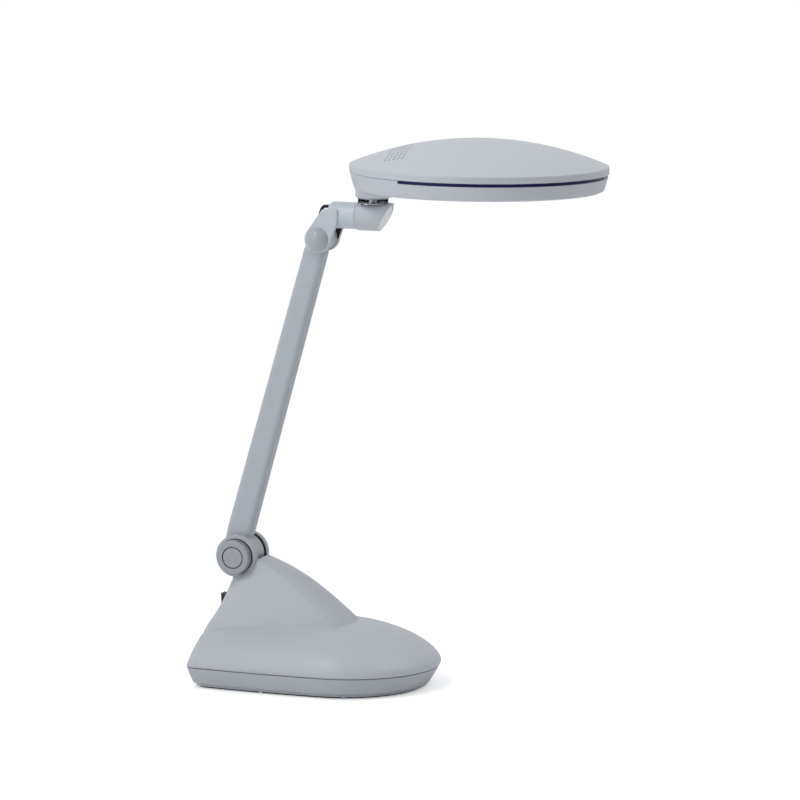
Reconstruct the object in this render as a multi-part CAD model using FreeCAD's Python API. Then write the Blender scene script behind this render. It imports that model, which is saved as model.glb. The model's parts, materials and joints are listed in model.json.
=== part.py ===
import FreeCAD, Part
import math
import os
from FreeCAD import Placement, Rotation, Vector

# Desk lamp: weighted base with a swept tower, one friction arm, an elbow with
# a short cross tube, and a round shade that rolls about the tube and pans on
# its neck. Millimetres, degrees, +Z up, +X towards the front of the lamp.
# The origin is the middle of the footprint of the whole lamp, on the table.

# Driving dimensions of the whole
ARM_LENGTH = 303.0
ARM_LEAN = 15.0
SHADE_DROOP = 0.65
HINGE_HEIGHT = 113.6
HINGE_SETBACK = 33.5
ELBOW_TO_TUBE_RISE = 21.65
ELBOW_TO_SEAM = 34.0
ELBOW_TO_NECK = 48.2
NECK_INSET = 15.8
ELBOW_TO_SLOT_RISE = 64.8
SHADE_RADIUS = 115.6

# Clearances, and how far cutters reach past the faces they leave
RUNNING_FIT = 0.05
SIDE_GAP = 0.5
SEAT_GAP = 0.15
OVERCUT = 1.0
THROUGH = 60.0

# Base
BASE_LENGTH = 220.9
BASE_HALF_WIDTH = 81.5
BASE_REAR_HALF_WIDTH = 72.5
BASE_CORNER_RADIUS = 13.0
BASE_REAR_BULGE = 3.1
BASE_WALL = 2.8
ROOF_WALL_SHARE = 0.8
LEAST_TAPER = 0.5
PAD_THICKNESS = 1.5
PAD_INSET = 1.2
PLINTH_HEIGHT = 2.8
PLINTH_INSET = 2.6
PARTING_HEIGHT = 19.4
PARTING_GAP = 0.7
LIP_GAP = 1.3
LIP_RISE = 0.8
LEDGE_THICKNESS = 2.0
LEDGE_OUTER_WALLS = 0.8
LIP_INNER_WALLS = 2.4
PAN_SIDE_DRAFT = 5.5
PAN_SIDE_POWER = 1.3
PAN_NOSE_DRAFT = 10.5
PAN_NOSE_POWER = 1.1
PAN_RING_DROPS = [0.0, 4.0, 9.0]
PAN_HOLLOW_BREAK = 7.0
PAN_FLOOR_DRAFT = 1.2
SHOULDER_HEIGHT = 22.5
SHOULDER_SIDE_REACH = 0.7
SHOULDER_NOSE_REACH = 0.9
DOME_TOP_HEIGHT = 57.6
DOME_NOSE_INSET = 96.0
DOME_SIDE_INSET = 65.0
DOME_REAR_INSET = 52.0
DOME_POWER = 0.66
DOME_REAR_TURN_HEIGHT = 45.0
DOME_REAR_TURN = 0.085
DOME_CORNER_SHARPENING = 6.0
DOME_RING_SHARES = [0.0, 0.12, 0.28, 0.46, 0.64, 0.80, 0.91, 0.97]

# Inside of the base
SCREW_FRONT_INSET = 42.0
SCREW_FRONT_SIDE = 34.0
SCREW_REAR_INSET = 26.0
SCREW_REAR_SIDE = 46.0
SCREW_SHANK_RADIUS = 1.25
SCREW_HEAD_RADIUS = 3.0
SCREW_HEAD_HEIGHT = 2.2
SCREW_PILOT_RADIUS = 1.3
SCREW_PILOT_DEPTH = 18.0
SCREW_POINT_DEPTH = 14.0
SCREW_HOLE_RADIUS = 1.8
SCREW_SEAT_RADIUS = 3.2
SCREW_SEAT_DEPTH = 4.0
SCREW_DRIVE_HALF_WIDTH = 0.4
SCREW_DRIVE_HALF_LENGTH = 2.0
SCREW_DRIVE_DEPTH = 0.8
COVER_POST_RADIUS = 4.0
PAN_BOSS_RADIUS = 4.2
POST_LIFT = 1.0
PAD_HOLE_RADIUS = 3.6
TAB_HALF_LENGTH = 1.4
TAB_WIDTH = 4.0
TAB_FOOT = 0.2
TAB_ROOM = 0.3
TAB_EDGE_INSET = 2.4
TAB_REAR_INSET = 77.0
TAB_REAR_DRAW_IN = 3.4
TAB_SPACING = 80.0
WEIGHT_HEIGHT = 12.0
WEIGHT_REAR_INSET = 44.0
WEIGHT_LENGTH = 124.0
WEIGHT_HALF_WIDTH = 62.0
WEIGHT_CORNER_RADIUS = 9.0
GEAR_INSET = 18.0
GEAR_LENGTH = 90.0
GEAR_HALF_WIDTH = 19.0
GEAR_HEIGHT = 24.0
GEAR_EDGE_RADIUS = 2.0
TERMINAL_INSET = 2.0
TERMINAL_LENGTH = 12.0
TERMINAL_HALF_WIDTH = 17.0
TERMINAL_HEIGHT = 10.0
TERMINAL_FLOOR = 4.0
TERMINAL_PITCH = 11.0
TERMINAL_HOLE_RADIUS = 2.2

# Tower
TOWER_FOOT_HALF_WIDTH = 49.5
TOWER_FOOT_HEIGHT = 51.0
TOWER_SIDE_SLOPE = 0.65
TOWER_FRONT_HALF_WIDTH = 31.0
TOWER_FRONT_SLOPE = 0.27
TOWER_FOOT_FRONT = 137.5
TOWER_FOOT_REACH = 11.1
TOWER_CREASE_SWEEP = 50.5
TOWER_CREASE_CURVE = 46.0
TOWER_CREASE_SOFTNESS_LOW = 1.2
TOWER_CREASE_SOFTNESS_HIGH = 5.0
TOWER_RIDGE_SWEEP = 64.0
TOWER_RIDGE_CURVE = 26.0
TOWER_RIDGE_HEIGHT = 112.4
TOWER_REAR_EDGE_RADIUS = 6.0
TOWER_ROOT = 8.0
TOWER_FOOT_TURN = 0.07
TOWER_REAR_BULGE = 3.0
TOWER_REAR_BULGE_GAIN = 0.165
REAR_SLOPE = 0.35
TOWER_NECK_HEIGHT = 95.0
TOWER_SPANS = 7
TOWER_CORNER_SHARE = 0.35

# Clevis and tension knob
EAR_RADIUS = 19.2
EAR_OUTER_HALF = 17.5
EAR_THICKNESS = 5.6
CLEVIS_CLEARANCE_RADIUS = 21.6
HINGE_BOLT_RADIUS = 4.0
HINGE_BOLT_TIP = 4.6
HINGE_HEAD_RADIUS = 7.0
HINGE_HEAD_THICKNESS = 1.4
KNUCKLE_RADIUS = 18.0
SPRING_STACK_RADIUS = 12.0
SPRING_STACK_THICKNESS = 3.0
SPRING_DISC_RADIUS = 9.6
SPRING_DISC_PLAY = 0.1
KNOB_RADIUS = 15.5
KNOB_THICKNESS = 8.2
KNOB_EDGE_RADIUS = 1.3
KNOB_ROOM = 0.6
KNOB_TEETH = 48
KNOB_TOOTH_DEPTH = 0.2
KNOB_TOOTH_HALF_WIDTH = 0.45
KNOB_TOOTH_START = 1.5
KNOB_TOOTH_END = 1.1
KNOB_DISC_RADIUS = 9.2
KNOB_DISC_SINK = 0.1
KNOB_DISC_EDGE_RADIUS = 0.5
KNOB_GROOVE = 1.0
KNOB_POCKET_DEPTH = 2.6
EAR_CAP_RADIUS = 12.5
EAR_CAP_THICKNESS = 2.6
EAR_CAP_EDGE_RADIUS = 1.2
EAR_CAP_POCKET = 1.5

# Arm
ARM_WIDTH_BOTTOM = 24.0
ARM_WIDTH_TOP = 20.5
ARM_THICKNESS = 17.0
ARM_EDGE_RADIUS = 5.0
ARM_WALL = 1.8
ARM_OFFSET_BOTTOM = 7.0
ARM_OFFSET_TOP = 2.2
ARM_TUBE_START = 21.0
ARM_TUBE_END_BELOW_ELBOW = 13.0
ARM_PLUG_LENGTH = 16.0
KNUCKLE_NECK_START = 4.0
KNUCKLE_NECK_INSET = 1.2
LEAD_WAY_RADIUS = 3.0
LEAD_WAY_START = 9.0
LEAD_WAY_END = 41.0
EYE_RADIUS = 10.6
EYE_NECK_INSET = 1.6
EYE_NECK_END = 2.0
EYE_GUTTER_ROOM = 0.9

# Elbow fork
CHEEK_RADIUS = 12.3
CHEEK_THICKNESS = 4.6
FORK_OUTER_HALF = 13.9
CHEEK_TOP_RISE = 27.7
CHEEK_FRONT_REACH = 19.2
CHEEK_TOP_REAR = 4.9
CHEEK_REAR_ANGLE = 152.0
CHEEK_FRONT_ANGLE = -6.0
CHEEK_REAR_CHAMFER = (2.6, 2.9)
CHEEK_FRONT_CHAMFER = 1.8
CHEEK_WAIST_RISE = 16.0
CHEEK_WAIST_DRAW_IN = 0.6
CHEEK_EDGE_RADIUS = 1.0
ELBOW_BOLT_RADIUS = 3.0
ELBOW_BOLT_END = 3.4
ELBOW_HEAD_RADIUS = 5.4
ELBOW_HEAD_HEIGHT = 3.0
ELBOW_NUT_ACROSS = 9.6
ELBOW_NUT_THICKNESS = 3.2
DOME_CAP_RADIUS = 10.6
DOME_CAP_HEIGHT = 7.6
DOME_CAP_WALL = 1.5

# Cross tube and swivel socket
TUBE_RADIUS = 12.0
TUBE_WALL = 1.6
TUBE_REAR_REACH = 7.3
TUBE_REAR_BEVEL = 2.8
PLUG_LENGTH = 12.0
CABLE_CHANNEL_ROOM = 0.5
BUSH_RADIUS = 8.3
BUSH_LENGTH = 6.5
BUSH_SEAT_LENGTH = 11.0
BUSH_BORE_RADIUS = 4.0
RETAINER_RADIUS = 9.0
RETAINER_THICKNESS = 1.2
SOCKET_RADIUS = 12.9
SOCKET_SEAM_GAP = 0.3
SOCKET_REAR_CHAMFER = 0.6
SOCKET_CAVITY_RADIUS = 10.3
SOCKET_TOP_REACH = 33.6
SOCKET_FRONT_RADIUS = 18.6
SOCKET_CUT_ANGLE = 28.0
SOCKET_DECK_RISE = 11.6
SOCKET_DECK_THICKNESS = 3.8
SOCKET_PAD_RADIUS = 6.2
SOCKET_PAD_TRIM = 0.2
END_CAP_THICKNESS = 1.8
END_CAP_CROWN = 0.5
END_CAP_CROWN_RADIUS = 150.0
END_CAP_RIM = 1.2
END_CAP_STAND_OUT = 3.0
FRICTION_DISC_RADIUS = 13.9
FRICTION_DISC_THICKNESS = 1.3
FRICTION_DISC_ROOM = 0.3
FRICTION_DISC_NOTCHES = 12
NOTCH_DEPTH = 1.6
NOTCH_HALF_WIDTH = 1.2
NOTCH_FIRST_ANGLE = 5.0
NECK_POST_RADIUS = 4.8
NECK_BORE_RADIUS = 2.8
NECK_NUT_ACROSS = 10.8
NECK_NUT_THICKNESS = 3.4
NECK_POST_FOOT = 1.5
NECK_POST_HEAD = 1.0
NECK_SPRING_THICKNESS = 1.6
NECK_SPRING_WIDTH = 1.4
NECK_SPRING_PLAY = 0.1
NECK_FLANGE_RADIUS = 14.4
NECK_FLANGE_THICKNESS = 1.4
NECK_BOSS_RADIUS = 20.0
NECK_BOSS_EDGE_RADIUS = 3.0

# Shade
RIM_BAND_HEIGHT = 7.5
DOME_RISE = 23.0
COVER_WALL = 2.2
COVER_RIM_WALL = 6.0
COVER_RIM_SEAT = 1.2
COVER_EDGE_RADIUS = 0.9
COVER_SCREW_POST_RADIUS = 4.0
COVER_SCREW_POST_DROP = 4.0
COVER_SCREW_PILOT_RADIUS = 1.3
TRAY_DEPTH = 14.6
TRAY_DRAFT = 3.4
TRAY_EDGE_RADIUS = 4.2
TRAY_WAIST = 0.6
TRAY_WALL = 2.2
TRAY_SIDE_WALL = 3.2
TRAY_TOP_GAP = 0.25
TRAY_POST_RADIUS = 5.0
TRAY_POST_SINK = 0.5
TRAY_HOLE_RADIUS = 1.7
TRAY_SEAT_RADIUS = 3.1
TRAY_SEAT_DEPTH = 2.6
SLOT_HEIGHT = 3.0
SLOT_DEPTH = 4.0
SLOT_HALF_ANGLE = 110.0
ACCENT_RECESS = 1.3
ACCENT_FRONT_GAP = 1.5
ACCENT_PLAY = 0.05
ACCENT_END_PLAY = 0.15
COVER_SCREW_INSET = 13.0
COVER_SCREW_ANGLES = [42.0, 138.0, 222.0, 318.0]
COVER_SCREW_SHANK_RADIUS = 1.25
COVER_SCREW_HEAD_RADIUS = 2.9
COVER_SCREW_TIP = 5.0
BOSS_DEPTH = 25.2
REFLECTOR_POST_ANGLES = [60.0, 120.0, 240.0, 300.0]
REFLECTOR_POST_RADIUS = 3.5
REFLECTOR_POST_INSET = 17.6
REFLECTOR_RIM_INSET = 18.6
REFLECTOR_RIM_WIDTH = 4.0
REFLECTOR_BEND_INSET = 21.0
REFLECTOR_BEND_DROP = 1.4
REFLECTOR_FLAT_INSET = 37.0
REFLECTOR_SEAT_DROP = 3.0
REFLECTOR_RISE = 11.0
REFLECTOR_SHEET = 0.8
DIFFUSER_FRONT_INSET = 15.6
DIFFUSER_BOSS_GAP = 3.8
DIFFUSER_THICKNESS = 2.1
DIFFUSER_SINK = 1.3
DIFFUSER_EDGE_RADIUS = 0.7
DIFFUSER_LEDGE = 4.0
VENT_COLUMNS = 5
VENT_ROWS_EACH_SIDE = 10
VENT_PITCH_X = 4.05
VENT_PITCH_Y = 7.3
VENT_WIDTH = 1.5
VENT_LENGTH = 3.6
VENT_FIELD_INSET = 40.2
VENT_CHEVRON = 0.167
LAMP_TUBE_RADIUS = 6.0
LAMP_TUBE_SPACING = 14.0
LAMP_TIP_INSET = 47.6
LAMP_DROP = 1.0
LAMP_BRIDGE_RADIUS = 3.4
LAMP_BRIDGE_INSET = 6.0
LAMP_BASE_GAP = 2.0
LAMP_BASE_LENGTH = 24.0
LAMP_BASE_HALF_WIDTH = 15.0
LAMP_BASE_HALF_HEIGHT = 7.2
LAMP_BASE_EDGE_RADIUS = 3.0
LAMP_HOLDER_LENGTH = 12.0
LAMP_HOLDER_HALF_WIDTH = 16.0
LAMP_HOLDER_TOP = 8.0
LAMP_HOLDER_EDGE_RADIUS = 2.0
CLIP_SHARE = 0.8
CLIP_WIDTH = 5.0
CLIP_EAR = 8.0
CLIP_RISE = 4.0
CLIP_PLAY = 0.1

# Switch and cord inlet
SWITCH_HEIGHT = 67.2
SWITCH_FRAME_LENGTH = 22.0
SWITCH_FRAME_WIDTH = 14.0
SWITCH_FRAME_FLANGE = 1.4
SWITCH_FRAME_EDGE_RADIUS = 0.8
SWITCH_CAN_DEPTH = 13.0
SWITCH_CAN_INSET = 1.4
SWITCH_CAN_ROOM = 0.2
SWITCH_SEAT_DEPTH = 0.5
SWITCH_SEAT_ROOM = 0.1
SWITCH_OPENING_DEPTH = 14.0
SWITCH_OPENING_REACH = 6.0
ROCKER_WELL_DEPTH = 8.5
ROCKER_ROOM = 0.4
ROCKER_PIN_RADIUS = 0.9
ROCKER_PIN_DEPTH = 2.0
ROCKER_LENGTH = 17.6
ROCKER_WIDTH = 9.6
ROCKER_TILT = 9.0
ROCKER_CROWN = 2.7
INLET_HEIGHT = 31.0
INLET_SIDE = 34.0
GROMMET_RADIUS = 5.2
GROMMET_FLANGE_RADIUS = 7.6
GROMMET_BORE_RADIUS = 3.4
GROMMET_LENGTH = 14.0
GROMMET_FLANGE_RISE = 3.2
GROMMET_FLANGE_SINK = 0.6
GROMMET_EDGE_RADIUS = 1.2

# Cables
CABLE_RADIUS = 1.5
CABLE_BACK_OFFSET = 7.7
ELBOW_CABLE_BEND = 7.0
CABLE_ENTRY_RISE = 7.6
CABLE_TAIL = 16.0
ARM_CABLE_START = 12.0

# Places that follow from the sizes above
LEAN = math.radians(ARM_LEAN)
X_SPAN = (HINGE_SETBACK + ARM_LENGTH * math.sin(LEAN)
          + ELBOW_TO_NECK - NECK_INSET + 2.0 * SHADE_RADIUS)
BASE_REAR = -X_SPAN / 2.0
BASE_NOSE = BASE_REAR + BASE_LENGTH
HINGE = Vector(BASE_REAR + HINGE_SETBACK, 0, HINGE_HEIGHT)
ELBOW = HINGE + Vector(ARM_LENGTH * math.sin(LEAN), 0, ARM_LENGTH * math.cos(LEAN))
TUBE_Z = ELBOW.z + ELBOW_TO_TUBE_RISE
SEAM_X = ELBOW.x + ELBOW_TO_SEAM
NECK_X = ELBOW.x + ELBOW_TO_NECK
SHADE_X = NECK_X + SHADE_RADIUS - NECK_INSET
SLOT_Z = ELBOW.z + ELBOW_TO_SLOT_RISE
DECK_UNDERSIDE = TUBE_Z + SOCKET_DECK_RISE - SOCKET_DECK_THICKNESS
BOSS_BOTTOM = SLOT_Z - BOSS_DEPTH
TRAY_BOTTOM = SLOT_Z - TRAY_DEPTH
TRAY_FLOOR = TRAY_BOTTOM + TRAY_WALL
PAN_FLOOR = PAD_THICKNESS + BASE_WALL
WEIGHT_REAR = BASE_REAR + WEIGHT_REAR_INSET
WEIGHT_TOP = PAN_FLOOR + WEIGHT_HEIGHT
REFLECTOR_RADIUS = SHADE_RADIUS - REFLECTOR_RIM_INSET
LAMP_Z = SLOT_Z - LAMP_DROP
LAMP_REAR = NECK_X + NECK_BOSS_RADIUS + DIFFUSER_BOSS_GAP
LIMB_REAR = LAMP_REAR + LAMP_BASE_GAP + LAMP_BASE_LENGTH
LIMB_FRONT = SHADE_X + SHADE_RADIUS - LAMP_TIP_INSET - LAMP_TUBE_RADIUS
DIFFUSER_FRONT = SHADE_X + SHADE_RADIUS - DIFFUSER_FRONT_INSET
DIFFUSER_RADIUS = (DIFFUSER_FRONT - LAMP_REAR) / 2.0
DIFFUSER_X = DIFFUSER_FRONT - DIFFUSER_RADIUS
REAR_SLANT = math.degrees(math.atan(REAR_SLOPE))
SWITCH_SEAT = Vector(BASE_REAR + REAR_SLOPE * (SWITCH_HEIGHT - PARTING_HEIGHT),
                     0, SWITCH_HEIGHT)
X_AXIS = Vector(1, 0, 0)
Y_AXIS = Vector(0, 1, 0)
Z_AXIS = Vector(0, 0, 1)
ORIGIN = Vector(0, 0, 0)
SWITCH_TURN = Rotation(Y_AXIS, REAR_SLANT - 180.0)
INLET_TURN = Rotation(Y_AXIS, REAR_SLANT)


# General helpers

def save(name, shape, droops=False):
    """Write one sub-part; the pieces past the elbow share its small droop."""
    if droops:
        shape = shape.copy()
        shape.rotate(ELBOW, Y_AXIS, SHADE_DROOP)
    shape.exportStep("parts/" + name + ".step")


def group(shapes):
    return Part.makeCompound(shapes)


def rod(radius, start, end):
    way = end - start
    return Part.makeCylinder(radius, way.Length, start, way)


def rod_y(radius, x, z, y0, y1):
    return rod(radius, Vector(x, y0, z), Vector(x, y1, z))


def rod_z(radius, x, y, z0, z1):
    return rod(radius, Vector(x, y, z0), Vector(x, y, z1))


def rod_x(radius, y, z, x0, x1):
    return rod(radius, Vector(x0, y, z), Vector(x1, y, z))


def block(x0, x1, y0, y1, z0, z1):
    return Part.makeBox(x1 - x0, y1 - y0, z1 - z0, Vector(x0, y0, z0))


def line(a, b):
    return Part.LineSegment(a, b).toShape()


def arc(a, b, c):
    return Part.Arc(a, b, c).toShape()


def side_plate(points, y0, y1):
    """A plate parallel to the XZ plane from a closed list of (x, z) corners."""
    corners = [Vector(x, y0, z) for x, z in points]
    face = Part.Face(Part.makePolygon(corners + corners[:1]))
    return face.extrude(Vector(0, y1 - y0, 0))


def turned(profile, x, y):
    """A solid of revolution about the vertical through (x, y)."""
    corners = [Vector(x + r, y, z) for r, z in profile]
    face = Part.Face(Part.makePolygon(corners + corners[:1]))
    return face.revolve(Vector(x, y, 0), Z_AXIS, 360)


def mirrored(shape):
    return shape.mirror(ORIGIN, Y_AXIS)


def both_sides(shape):
    return shape.fuse(mirrored(shape))


def edges_where(shape, test):
    return [edge for edge in shape.Edges if test(edge)]


def is_upright(edge):
    return abs(edge.tangentAt(edge.FirstParameter).z) > 0.99


def is_full_circle(edge, radius):
    return abs(edge.Length - 2.0 * math.pi * radius) < 0.1


# Outline of the base at one height

def rear_line(height):
    """x of the middle of the rear face, which leans forward from the parting."""
    return BASE_REAR + REAR_SLOPE * max(0.0, height - PARTING_HEIGHT)


def outline(height, nose_x, half, rear_x, rear_half, corner, bulge):
    """Closed plan outline: round nose, gently tapering sides, rounded rear corners.

    The side is one arc that leaves the nose circle tangentially and meets the
    corner arc tangentially, and the rear is one shallow arc.
    """
    centre_x = nose_x - half
    run = centre_x - rear_x
    drop = half - rear_half
    side_radius = (run * run + drop * drop) / (2.0 * drop)
    side_centre_y = half - side_radius
    corner_x = rear_x + bulge + corner
    reach = math.sqrt((side_radius - corner) ** 2 - (corner_x - centre_x) ** 2)
    corner_y = side_centre_y + reach
    away = Vector(corner_x - centre_x, reach, 0).normalize()
    side_end = Vector(corner_x, corner_y, height) + away * corner
    side_end.z = height
    half_turn = 0.5 * math.atan2(centre_x - side_end.x, side_end.y - side_centre_y)
    side_mid = Vector(centre_x - side_radius * math.sin(half_turn),
                      side_centre_y + side_radius * math.cos(half_turn), height)
    rear_end = Vector(rear_x + bulge, corner_y, height)
    bisector = (away + Vector(-1, 0, 0)).normalize()
    corner_mid = Vector(corner_x, corner_y, height) + bisector * corner
    nose_side = Vector(centre_x, half, height)
    diagonal = half * math.sqrt(0.5)
    nose_mid = Vector(centre_x + diagonal, diagonal, height)

    def flip(point):
        return Vector(point.x, -point.y, point.z)

    nose = Vector(nose_x, 0, height)
    rear = Vector(rear_x, 0, height)
    edges = [
        arc(nose, nose_mid, nose_side),
        arc(nose_side, side_mid, side_end),
        arc(side_end, corner_mid, rear_end),
        arc(rear_end, rear, flip(rear_end)),
        arc(flip(rear_end), flip(corner_mid), flip(side_end)),
        arc(flip(side_end), flip(side_mid), flip(nose_side)),
        arc(flip(nose_side), flip(nose_mid), nose),
    ]
    return Part.Wire(edges)


def dome_outline(share, inset, lift):
    """Outline of the domed body at a share of its rise, inset by a wall."""
    rise = DOME_TOP_HEIGHT - SHOULDER_HEIGHT
    height = SHOULDER_HEIGHT + rise * share
    fall = 1.0 - math.sqrt(max(0.0, 1.0 - share ** (1.0 / DOME_POWER)))
    nose = BASE_NOSE - DOME_NOSE_INSET * fall - inset
    half = BASE_HALF_WIDTH - DOME_SIDE_INSET * fall - inset
    rear_half = min(half - LEAST_TAPER, BASE_REAR_HALF_WIDTH - DOME_REAR_INSET * fall - inset)
    corner = BASE_CORNER_RADIUS - DOME_CORNER_SHARPENING * share - inset
    turn_in = DOME_REAR_TURN * max(0.0, height - DOME_REAR_TURN_HEIGHT) ** 2
    return outline(height + lift, nose, half, rear_line(height) + turn_in + inset,
                   rear_half, corner, BASE_REAR_BULGE)


def body_dome(inset=0.0, lift=0.0, bottom=PARTING_HEIGHT):
    """The low domed body above the parting line, as a solid."""
    foot = outline(bottom, BASE_NOSE - SHOULDER_NOSE_REACH - inset,
                   BASE_HALF_WIDTH - SHOULDER_SIDE_REACH - inset,
                   rear_line(bottom) + inset,
                   BASE_REAR_HALF_WIDTH - SHOULDER_SIDE_REACH - inset,
                   BASE_CORNER_RADIUS - inset, BASE_REAR_BULGE)
    rings = [foot] + [dome_outline(share, inset, lift) for share in DOME_RING_SHARES]
    return Part.makeLoft(rings, True, False)


# Tower of the base cover

def tower_front_half(height, inset):
    """Half width at the creases, where the flat sides meet the rounded front."""
    return TOWER_FRONT_HALF_WIDTH - TOWER_FRONT_SLOPE * (height - TOWER_FOOT_HEIGHT) - inset


def tower_rear_half(height, inset):
    """Half width at the rear; the sides draw in towards the front."""
    half = (TOWER_FOOT_HALF_WIDTH - TOWER_SIDE_SLOPE * (height - TOWER_FOOT_HEIGHT)
            - inset / math.cos(math.atan(TOWER_SIDE_SLOPE)))
    return max(half, tower_front_half(height, inset))


def tower_share(height):
    return (height - TOWER_FOOT_HEIGHT) / (TOWER_RIDGE_HEIGHT - TOWER_FOOT_HEIGHT)


def tower_crease_x(height):
    """Where the flat side turns into the rounded ridge."""
    up = tower_share(height)
    return (BASE_REAR + TOWER_FOOT_FRONT - TOWER_CREASE_SWEEP * up
            - TOWER_CREASE_CURVE * max(0.0, up) ** 2)


def tower_ridge_x(height):
    """The ridge on the centre plane, ahead of the crease."""
    up = tower_share(height)
    return (BASE_REAR + TOWER_FOOT_FRONT + TOWER_FOOT_REACH - TOWER_RIDGE_SWEEP * up
            - TOWER_RIDGE_CURVE * max(0.0, up) ** 4)


def tower_ring(height, inset):
    """Plan section: convex rear, flat sides, softened creases, rounded front."""
    rear_half = tower_rear_half(height, inset)
    front_half = tower_front_half(height, inset)
    crease = tower_crease_x(height) - inset
    ridge = tower_ridge_x(height) - inset
    under = max(0.0, TOWER_FOOT_HEIGHT - height)
    rear = (rear_line(min(height, TOWER_NECK_HEIGHT)) + inset
            + TOWER_FOOT_TURN * min(under, TOWER_ROOT) ** 2)
    corner = min(TOWER_REAR_EDGE_RADIUS, TOWER_CORNER_SHARE * rear_half)
    bulge = TOWER_REAR_BULGE + TOWER_REAR_BULGE_GAIN * (height - TOWER_FOOT_HEIGHT)
    edge_x = rear + bulge
    turn = corner * (1.0 - math.sqrt(0.5))

    def at(x, y):
        return Vector(x, y, height)

    # The side runs from the end of the rear corner to the crease, and the front
    # is a circle through both creases and the ridge.
    side_start = at(edge_x + corner, -rear_half)
    vertex = at(crease, -front_half)
    side_way = (vertex - side_start).normalize()
    sagitta = ridge - crease
    front_radius = (front_half ** 2 + sagitta ** 2) / (2.0 * sagitta)
    centre_x = ridge - front_radius
    up = min(1.0, max(0.0, tower_share(height)))
    soft = (TOWER_CREASE_SOFTNESS_LOW
            + (TOWER_CREASE_SOFTNESS_HIGH - TOWER_CREASE_SOFTNESS_LOW) * up)
    vertex_angle = math.atan2(-front_half, crease - centre_x)
    after_angle = vertex_angle + soft / front_radius
    before = vertex - side_way * soft
    after = at(centre_x + front_radius * math.cos(after_angle),
               front_radius * math.sin(after_angle))
    front_way = (after - vertex).normalize()
    turning = side_way.getAngle(front_way)
    chord_mid = (before + after) * 0.5
    sink = soft * math.tan(turning / 4.0)
    towards = chord_mid - vertex
    if towards.Length > sink > 0.0:
        middle = vertex + towards.normalize() * sink
    else:
        middle = chord_mid + (vertex - chord_mid) * 0.5

    def flip(point):
        return Vector(point.x, -point.y, point.z)

    edges = [
        arc(after, at(ridge, 0), flip(after)),
        arc(flip(after), flip(middle), flip(before)),
        line(flip(before), flip(side_start)),
        arc(flip(side_start), at(edge_x + turn, rear_half - turn),
            at(edge_x, rear_half - corner)),
        arc(at(edge_x, rear_half - corner), at(rear, 0), at(edge_x, -rear_half + corner)),
        arc(at(edge_x, -rear_half + corner), at(edge_x + turn, -rear_half + turn),
            side_start),
        line(side_start, before),
        arc(before, middle, after),
    ]
    return Part.Wire(edges)


def tower(inset=0.0, top=TOWER_RIDGE_HEIGHT):
    foot = TOWER_FOOT_HEIGHT
    rises = [foot + (top - foot) * k / TOWER_SPANS for k in range(TOWER_SPANS + 1)]
    heights = [foot - TOWER_ROOT, foot - TOWER_ROOT / 2.0] + rises
    return Part.makeLoft([tower_ring(z, inset) for z in heights], True, False)


# Base pieces

def base_cover():
    """Upper moulding: domed body, swept tower and two clevis ears, hollow."""
    outer = body_dome().fuse(tower())
    ears = rod_y(EAR_RADIUS, HINGE.x, HINGE.z, -EAR_OUTER_HALF, EAR_OUTER_HALF)
    outer = outer.fuse(ears)
    inner_half = EAR_OUTER_HALF - EAR_THICKNESS
    slot = rod_y(CLEVIS_CLEARANCE_RADIUS, HINGE.x, HINGE.z, -inner_half, inner_half)
    above = block(HINGE.x - THROUGH, HINGE.x + THROUGH, -inner_half, inner_half,
                  HINGE.z, HINGE.z + THROUGH)
    outer = outer.cut(slot.fuse(above))
    hollow = body_dome(BASE_WALL, -ROOF_WALL_SHARE * BASE_WALL, PAN_FLOOR)
    roof = HINGE.z - CLEVIS_CLEARANCE_RADIUS - 2.0 * BASE_WALL
    hollow = hollow.fuse(tower(BASE_WALL, roof))
    shell = outer.cut(hollow)
    shell = shell.cut(rod_y(KNOB_RADIUS + KNOB_ROOM, HINGE.x, HINGE.z,
                            -EAR_OUTER_HALF - THROUGH, -EAR_OUTER_HALF))
    shell = shell.cut(rod_y(HINGE_BOLT_RADIUS + RUNNING_FIT, HINGE.x, HINGE.z,
                            -THROUGH, THROUGH))
    for x, y in screw_places():
        post = rod_z(COVER_POST_RADIUS, x, y, PARTING_HEIGHT + POST_LIFT, DOME_TOP_HEIGHT)
        pilot = rod_z(SCREW_PILOT_RADIUS, x, y, PARTING_HEIGHT,
                      PARTING_HEIGHT + SCREW_PILOT_DEPTH)
        shell = shell.fuse(post.cut(pilot).common(hollow))
    shell = shell.cut(switch_opening())
    shell = shell.cut(grommet_hole())
    return shell.removeSplitter()


def screw_places():
    front = BASE_NOSE - SCREW_FRONT_INSET
    rear = BASE_REAR + SCREW_REAR_INSET
    return [(front, SCREW_FRONT_SIDE), (front, -SCREW_FRONT_SIDE),
            (rear, SCREW_REAR_SIDE), (rear, -SCREW_REAR_SIDE)]


def pan_outline(height, inset):
    """Outline of the lower shell, which draws in towards the table."""
    share = (PARTING_HEIGHT - height) / (PARTING_HEIGHT - PAD_THICKNESS)
    side = PAN_SIDE_DRAFT * share ** PAN_SIDE_POWER + inset
    nose = PAN_NOSE_DRAFT * share ** PAN_NOSE_POWER + inset
    return outline(height, BASE_NOSE - SHOULDER_NOSE_REACH - nose,
                   BASE_HALF_WIDTH - SHOULDER_SIDE_REACH - side, BASE_REAR + side,
                   BASE_REAR_HALF_WIDTH - SHOULDER_SIDE_REACH - side,
                   BASE_CORNER_RADIUS - inset / 2.0, BASE_REAR_BULGE)


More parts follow.
